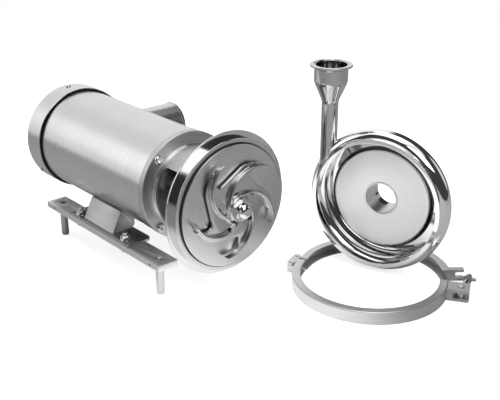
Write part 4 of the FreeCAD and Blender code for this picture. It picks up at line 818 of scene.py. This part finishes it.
@dataclass
class Feet:
    """The legs with their sockets, and the bars and brackets with their broken edges."""

    bench: Workbench
    leg_radius: float = 6.0
    leg_top: float = 57.1
    leg_x: float = 71.5
    leg_front: float = 68.5
    leg_rear: float = 342.5
    foot_round: float = 1.2
    top_round: float = 0.9
    leg_steps: int = 64
    socket_flats: float = 6.0
    socket_depth: float = 5.0
    edge_mm: float = 0.5
    edge_steps: int = 2
    flat_degrees: float = 1.0
    edge_degrees: float = 40.0
    smooth_degrees: float = 35.0

    def build_legs(self) -> None:
        """Turns one leg with a socket in its top and copies it to the four corners."""
        place = self.bench.sizes.point(-self.leg_x, self.leg_front, 0)
        leg = turn_outline("leg_front_left_rod", [
            Corner(0, 0), Corner(self.leg_radius, 0, self.foot_round),
            Corner(self.leg_radius, self.leg_top, self.top_round), Corner(0, self.leg_top),
        ], Axis(tuple(place), (0.0, 0.0, 1.0)), self.leg_steps)
        mouth = place + Vector((0, 0, self.leg_top * MM))
        self.bench.cut_socket(leg, mouth, Vector((0, 0, -1)), self.socket_flats,
                              self.socket_depth)
        across = Vector((2 * self.leg_x * MM, 0, 0))
        along = Vector((0, (self.leg_rear - self.leg_front) * MM, 0))
        legs = {
            "front_left": leg,
            "front_right": self.bench.copy_piece(leg, "leg_front_right_rod", across),
            "rear_left": self.bench.copy_piece(leg, "leg_rear_left_rod", along),
            "rear_right": self.bench.copy_piece(leg, "leg_rear_right_rod", across + along),
        }
        for corner, rod in legs.items():
            self.bench.hand_over(rod, Finishes.ROD, "leg_" + corner, "satin_stainless",
                                 corner + "_leg")

    def build_bars(self) -> None:
        """Breaks the edges of the rails and the folded brackets, which then catch the light."""
        for finish in (Finishes.BAR, Finishes.SHEET):
            for node in FINISHED_NODES[finish]:
                piece = copy_node(node, node + "_dressed")
                bpy.ops.object.mode_set(mode="EDIT")
                bpy.ops.mesh.select_all(action="SELECT")
                bpy.ops.mesh.dissolve_limited(angle_limit=math.radians(self.flat_degrees))
                bpy.ops.object.mode_set(mode="OBJECT")
                apply_modifier(piece, "BEVEL", {
                    "width": self.edge_mm * MM, "segments": self.edge_steps,
                    "limit_method": "ANGLE", "angle_limit": math.radians(self.edge_degrees),
                })
                settle(piece, self.smooth_degrees)
                self.bench.hand_over(piece, finish, "drive_unit", "satin_stainless", node)


@dataclass
class Casing:
    """The pressed bowl with its rolled shoulder, and the discharge riser that runs into it."""

    bench: Workbench
    port_radius: float = 25.45
    port_round: float = 0.8
    disc_radius: float = 76.0
    disc_depth: float = 29.5
    disc_round: float = 2.5
    channel_inner: float = 80.5
    channel_inner_round: float = 3.0
    channel_radius: float = 108.6
    channel_depth: float = 36.0
    channel_back_round: float = 13.0
    channel_front: float = 11.0
    channel_front_round: float = 11.5
    # Outer radius of the painted shade in the channel's root, and its margin from the disc and
    # the back.
    shade_outer: float = 85.0
    shade_margin: float = 1.0
    mouth_radius: float = 95.5
    lip_round: float = 0.6
    mouth_round: float = 1.0
    rim_radius: float = 102.5
    rim_edge: float = 2.2
    rim_round: float = 0.8
    root_radius: float = 98.5
    root_depth: float = 6.3
    seam_round: float = 0.2
    bulge_radius: float = 111.9
    bulge_front: float = 6.9
    bulge_back: float = 39.5
    bulge_round: float = 16.2
    front_tighter: float = 1.2
    bowl_steps: int = 240
    tube_offset: float = 86.0
    tube_depth: float = 19.7
    tube_radius: float = 12.7
    tube_wall: float = 1.65
    tube_start: float = 40.0
    tube_top: float = 140.0
    tube_steps: int = 96
    passage_depth: float = 21.3
    passage_radius: float = 8.0
    passage_top: float = 95.0
    passage_steps: int = 48
    ring_inner: float = 23.9
    ring_outer: float = 26.6
    ring_stand: float = 1.2
    ring_sunk: float = 1.0
    ring_round: float = 1.0
    ring_steps: int = 120

    def axis(self) -> Axis:
        """Gives the bowl's own axis, which points out of its mouth."""
        return self.bench.sizes.axes()[Lay.ROUND_CASING]

    def tube_axis(self, depth: float) -> Axis:
        """Finds the upright axis of the riser or the passage.

        Args:
            depth: How far it lies behind the rim.

        Returns:
            The axis.
        """
        axis = self.axis()
        out = Vector(axis.direction)
        side = Vector((out.y, -out.x, 0))
        centre = Vector(axis.centre) + (side * self.tube_offset - out * depth) * MM
        return Axis(tuple(centre), (0.0, 0.0, 1.0))

    def shoulder(self) -> list[Corner]:
        """Lists the rolled shoulder's outer corners.

        Returns:
            The corners from the rim's root to the back.
        """
        return [
            Corner(self.root_radius, -self.bulge_front, self.seam_round),
            Corner(self.bulge_radius, -self.bulge_front, self.bulge_round - self.front_tighter),
            Corner(self.bulge_radius, -self.bulge_back, self.bulge_round),
        ]

    def build_bowl(self) -> None:
        """Spins the bowl: satin disc, round channel, thin rim and rolled shoulder."""
        bowl = turn_outline("casing_bowl_spun", [
            Corner(self.port_radius, -self.disc_depth, self.port_round),
            Corner(self.disc_radius, -self.disc_depth, self.disc_round),
            Corner(self.channel_inner, -self.channel_depth, self.channel_inner_round),
            Corner(self.channel_radius, -self.channel_depth, self.channel_back_round),
            Corner(self.channel_radius, -self.channel_front, self.channel_front_round),
            Corner(self.mouth_radius, -self.channel_front, self.lip_round),
            Corner(self.mouth_radius, 0, self.mouth_round),
            Corner(self.rim_radius, 0, self.lip_round),
            Corner(self.rim_radius, -self.rim_edge, self.rim_round),
            Corner(self.root_radius, -self.root_depth, self.rim_round),
            *self.shoulder(),
            Corner(self.port_radius, -self.bulge_back),
        ], self.axis(), self.bowl_steps)
        passage = turn_outline("passage", [
            Corner(0, 0), Corner(self.passage_radius, 0),
            Corner(self.passage_radius, self.passage_top), Corner(0, self.passage_top),
        ], self.tube_axis(self.passage_depth), self.passage_steps)
        self.bench.cut(bowl, passage)
        settle(bowl)
        self.bench.hand_over(bowl, Finishes.MIRROR, "casing", "polished_stainless",
                             "casing_bowl")
        self.paint_root_shade(bowl)

    def paint_root_shade(self, bowl: Piece) -> None:
        """Paints the shade deep in the channel's root as a dark, dull steel finish.

        Args:
            bowl: The finished bowl.
        """
        bowl.data.materials.append(self.bench.finishes.get(Finishes.ROOT_SHADE))
        shade_slot = len(bowl.data.materials) - 1
        axis = self.axis()
        out, centre = Vector(axis.direction), Vector(axis.centre)
        shallow, deep = self.disc_depth + self.shade_margin, self.bulge_back - self.shade_margin
        for face in bowl.data.polygons:
            place = (face.center - centre) / MM
            depth = -place.dot(out)
            radius = (place + out * depth).length
            # Faces deep in the channel, beyond the disc, get the painted shade.
            if self.disc_radius < radius < self.shade_outer and shallow < depth < deep:
                face.material_index = shade_slot

    def build_riser(self) -> None:
        """Turns the riser and trims its foot to the rolled shoulder."""
        bore = self.tube_radius - self.tube_wall
        riser = turn_outline("discharge_riser", [
            Corner(bore, self.tube_start), Corner(self.tube_radius, self.tube_start),
            Corner(self.tube_radius, self.tube_top), Corner(bore, self.tube_top),
        ], self.tube_axis(self.tube_depth), self.tube_steps)
        shoulder = turn_outline("shoulder", [
            Corner(0, 0), Corner(self.root_radius, 0), *self.shoulder(),
            Corner(0, -self.bulge_back),
        ], self.axis(), self.bowl_steps)
        self.bench.cut(riser, shoulder)
        settle(riser)
        self.bench.hand_over(riser, Finishes.TUBE, "casing", "polished_stainless",
                             "discharge_tube")

    def build_port_ring(self) -> None:
        """Lays the bright rolled lip round the suction port."""
        sunk, stand = -self.disc_depth - self.ring_sunk, self.ring_stand - self.disc_depth
        ring = turn_outline("suction_port_lip", [
            Corner(self.ring_inner, sunk), Corner(self.ring_inner, stand, self.ring_round),
            Corner(self.ring_outer, stand, self.ring_round), Corner(self.ring_outer, sunk),
        ], self.axis(), self.ring_steps)
        self.bench.hand_over(ring, Finishes.MIRROR, "casing", "polished_stainless")


@dataclass(frozen=True)
class SoftBox:
    """A panel of the tent in one direction, lit, or dark where its level is below zero."""

    centre: Place
    inner_degrees: float
    outer_degrees: float
    level: float

    def hang(self, tree: Tree, direction: Socket, level: Socket) -> Socket:
        """Adds the panel to the light that comes from a direction.

        Args:
            tree: The world's node tree.
            direction: The socket with the direction looked in.
            level: The light before this panel.

        Returns:
            The socket with the light after it.
        """
        aim = tuple(Vector(self.centre).normalized())
        facing = vector_maths(tree, "DOT_PRODUCT", direction, aim)
        share = ramp(tree, facing, math.cos(math.radians(self.outer_degrees)),
                     math.cos(math.radians(self.inner_degrees)), 0.0, self.level, smooth=True)
        return maths(tree, "ADD", level, share)


@dataclass(frozen=True)
class Lamp:
    """A soft square lamp that looks at a point, in millimetres and watts."""

    name: str
    place: Place
    target: Place
    size: float
    power: float

    def hang(self, sizes: PumpSizes) -> None:
        """Hangs the lamp over the table.

        Args:
            sizes: The places that the lamp's own are counted from.
        """
        data = bpy.data.lights.new(self.name, "AREA")
        data.size = self.size * MM
        data.energy = self.power
        lamp = bpy.data.objects.new(self.name, data)
        bpy.context.scene.collection.objects.link(lamp)
        lamp.location = sizes.point(*self.place)
        aim = sizes.point(*self.place) - sizes.point(*self.target)
        lamp.rotation_euler = aim.to_track_quat("Z", "Y").to_euler()


@dataclass
class Studio:
    """The white table, the soft lamps and the camera."""

    sizes: PumpSizes
    camera_place: Place = (-729.48, -885.87, 634.46)
    camera_back: Place = (-0.60575, -0.69433, 0.38854)
    lens_mm: float = 63.75
    sensor_mm: float = 36.0
    sight_m: float = 50.0
    floor_mm: float = 3600.0
    floor_cells: int = 4
    floor_paint: str = "#F4F4F4"
    # Greyer table paint that only steel sees, as painted shade.
    floor_shade_in_mirrors: str = "#BEBEBE"
    floor_roughness: float = 0.9
    floor_level: float = 0.02
    floor_lift: float = 0.74
    pool_place: Place = (-45.0, -75.0, 0.0)
    pool_inner: float = 110.0
    pool_outer: float = 275.0
    pool_level: float = 0.95
    room_level: float = 0.02
    mirrored_share: float = 0.03
    tent: tuple[SoftBox, ...] = (
        SoftBox((0.0, 0.96, 0.28), 50, 57, 1.0),
        SoftBox((-0.6, 0.69, 0.4), 10, 19, 0.5),
        SoftBox((-0.1, 0.69, 0.72), 8, 20, -0.15),
        SoftBox((0.0, -0.2, 1.0), 24, 30, 0.8),
        SoftBox((-0.97, -0.1, 0.2), 12, 16, 0.9),
        SoftBox((0.9, -0.4, 0.3), 14, 20, 0.7),
    )
    lamps: tuple[Lamp, ...] = (
        Lamp("key", (-250, -1100, 1200), (50, 50, 100), 900, 7.0),
        Lamp("top", (100, 150, 1700), (100, 100, 0), 1400, 9.0),
    )

    def place_camera(self) -> None:
        """Puts the camera where the photograph was taken from."""
        data = bpy.data.cameras.new("camera")
        data.lens = self.lens_mm
        data.sensor_width = self.sensor_mm
        data.clip_end = self.sight_m
        camera = bpy.data.objects.new("camera", data)
        bpy.context.scene.collection.objects.link(camera)
        camera.location = self.sizes.point(*self.camera_place)
        camera.rotation_euler = Vector(self.camera_back).to_track_quat("Z", "Y").to_euler()
        bpy.context.scene.camera = camera

    def lay_floor(self) -> None:
        """Lays a white table that keeps the pump's shadow."""
        deselect()
        bpy.ops.mesh.primitive_grid_add(x_subdivisions=self.floor_cells,
                                        y_subdivisions=self.floor_cells,
                                        size=self.floor_mm * MM)
        floor = bpy.context.object
        floor.name = "table"
        floor.data.materials.append(self.floor_material())

    def floor_material(self) -> bpy.types.Material:
        """Makes the table's paint: lifted for the camera, painted light and shade for the
        steel.

        Returns:
            The table's material.
        """
        material = bpy.data.materials.new("white_table")
        material.use_nodes = True
        tree = material.node_tree
        shader = tree.nodes["Principled BSDF"]
        shader.inputs["Roughness"].default_value = self.floor_roughness
        rays = add_node(tree, "ShaderNodeLightPath").outputs
        # Painted shade: glossy rays see the table in a greyer paint than the camera does.
        paint = mix_colours(tree, rays["Is Glossy Ray"], hex_colour(self.floor_paint),
                            hex_colour(self.floor_shade_in_mirrors))
        tree.links.new(paint, shader.inputs["Base Color"])
        mirrored = maths(tree, "MAXIMUM", rays["Is Glossy Ray"], rays["Is Transmission Ray"])
        # Painted pool of light: the table glows for glossy rays only, bright round pool_place
        # and dim beyond.
        away = vector_maths(tree, "DISTANCE", object_place(tree),
                            self.sizes.point(*self.pool_place))
        pool = ramp(tree, away, self.pool_inner * MM, self.pool_outer * MM, self.pool_level,
                    self.floor_level, smooth=True)
        lift = maths(tree, "MAXIMUM", maths(tree, "MULTIPLY", mirrored, pool),
                     maths(tree, "MULTIPLY", rays["Is Camera Ray"], self.floor_lift))
        glow = add_node(tree, "ShaderNodeEmission", {},
                        {"Color": (1, 1, 1, 1), "Strength": lift}).outputs[0]
        both = add_node(tree, "ShaderNodeAddShader", {},
                        {0: shader.outputs[0], 1: glow}).outputs[0]
        tree.links.new(both, tree.nodes["Material Output"].inputs["Surface"])
        return material

    def light(self) -> None:
        """Sets the soft lamps and the white tent with its dark gaps."""
        world = bpy.data.worlds.new("tent")
        bpy.context.scene.world = world
        world.use_nodes = True
        tree = world.node_tree
        tree.nodes.clear()
        direction = add_node(tree, "ShaderNodeTexCoord").outputs["Generated"]
        level = add_node(tree, "ShaderNodeValue").outputs[0]
        level.default_value = self.room_level
        for box in self.tent:
            level = box.hang(tree, direction, level)
        tent = add_node(tree, "ShaderNodeCombineColor", {},
                        {0: level, 1: level, 2: level}).outputs[0]
        rays = add_node(tree, "ShaderNodeLightPath").outputs
        seen = maths(tree, "MAXIMUM", rays["Is Camera Ray"], rays["Is Transmission Ray"])
        glossy = maths(tree, "MULTIPLY", rays["Is Glossy Ray"], self.mirrored_share)
        room = mix_colours(tree, maths(tree, "MAXIMUM", seen, glossy), tent, (1, 1, 1, 1))
        background = add_node(tree, "ShaderNodeBackground", {},
                              {"Color": room, "Strength": 1.0}).outputs[0]
        output = add_node(tree, "ShaderNodeOutputWorld", {}, {"Surface": background})
        output.is_active_output = True
        for lamp in self.lamps:
            lamp.hang(self.sizes)


def main() -> None:
    """Builds the studio and dresses the pump piece by piece."""
    bpy.context.scene.view_settings.view_transform = "Standard"
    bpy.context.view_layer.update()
    sizes = PumpSizes()
    studio = Studio(sizes)
    studio.place_camera()
    studio.lay_floor()
    studio.light()
    finishes = Finishes(sizes)
    for finish, nodes in FINISHED_NODES.items():
        for node in nodes:
            finishes.dress(node, finish)
    bench = Workbench(sizes, finishes)
    Rotor(bench).build()
    drive = DriveUnit(bench)
    drive.build_bolts()
    drive.build_beads()
    feet = Feet(bench)
    feet.build_legs()
    feet.build_bars()
    casing = Casing(bench)
    casing.build_bowl()
    casing.build_riser()
    casing.build_port_ring()


if __name__ == "__main__":
    main()
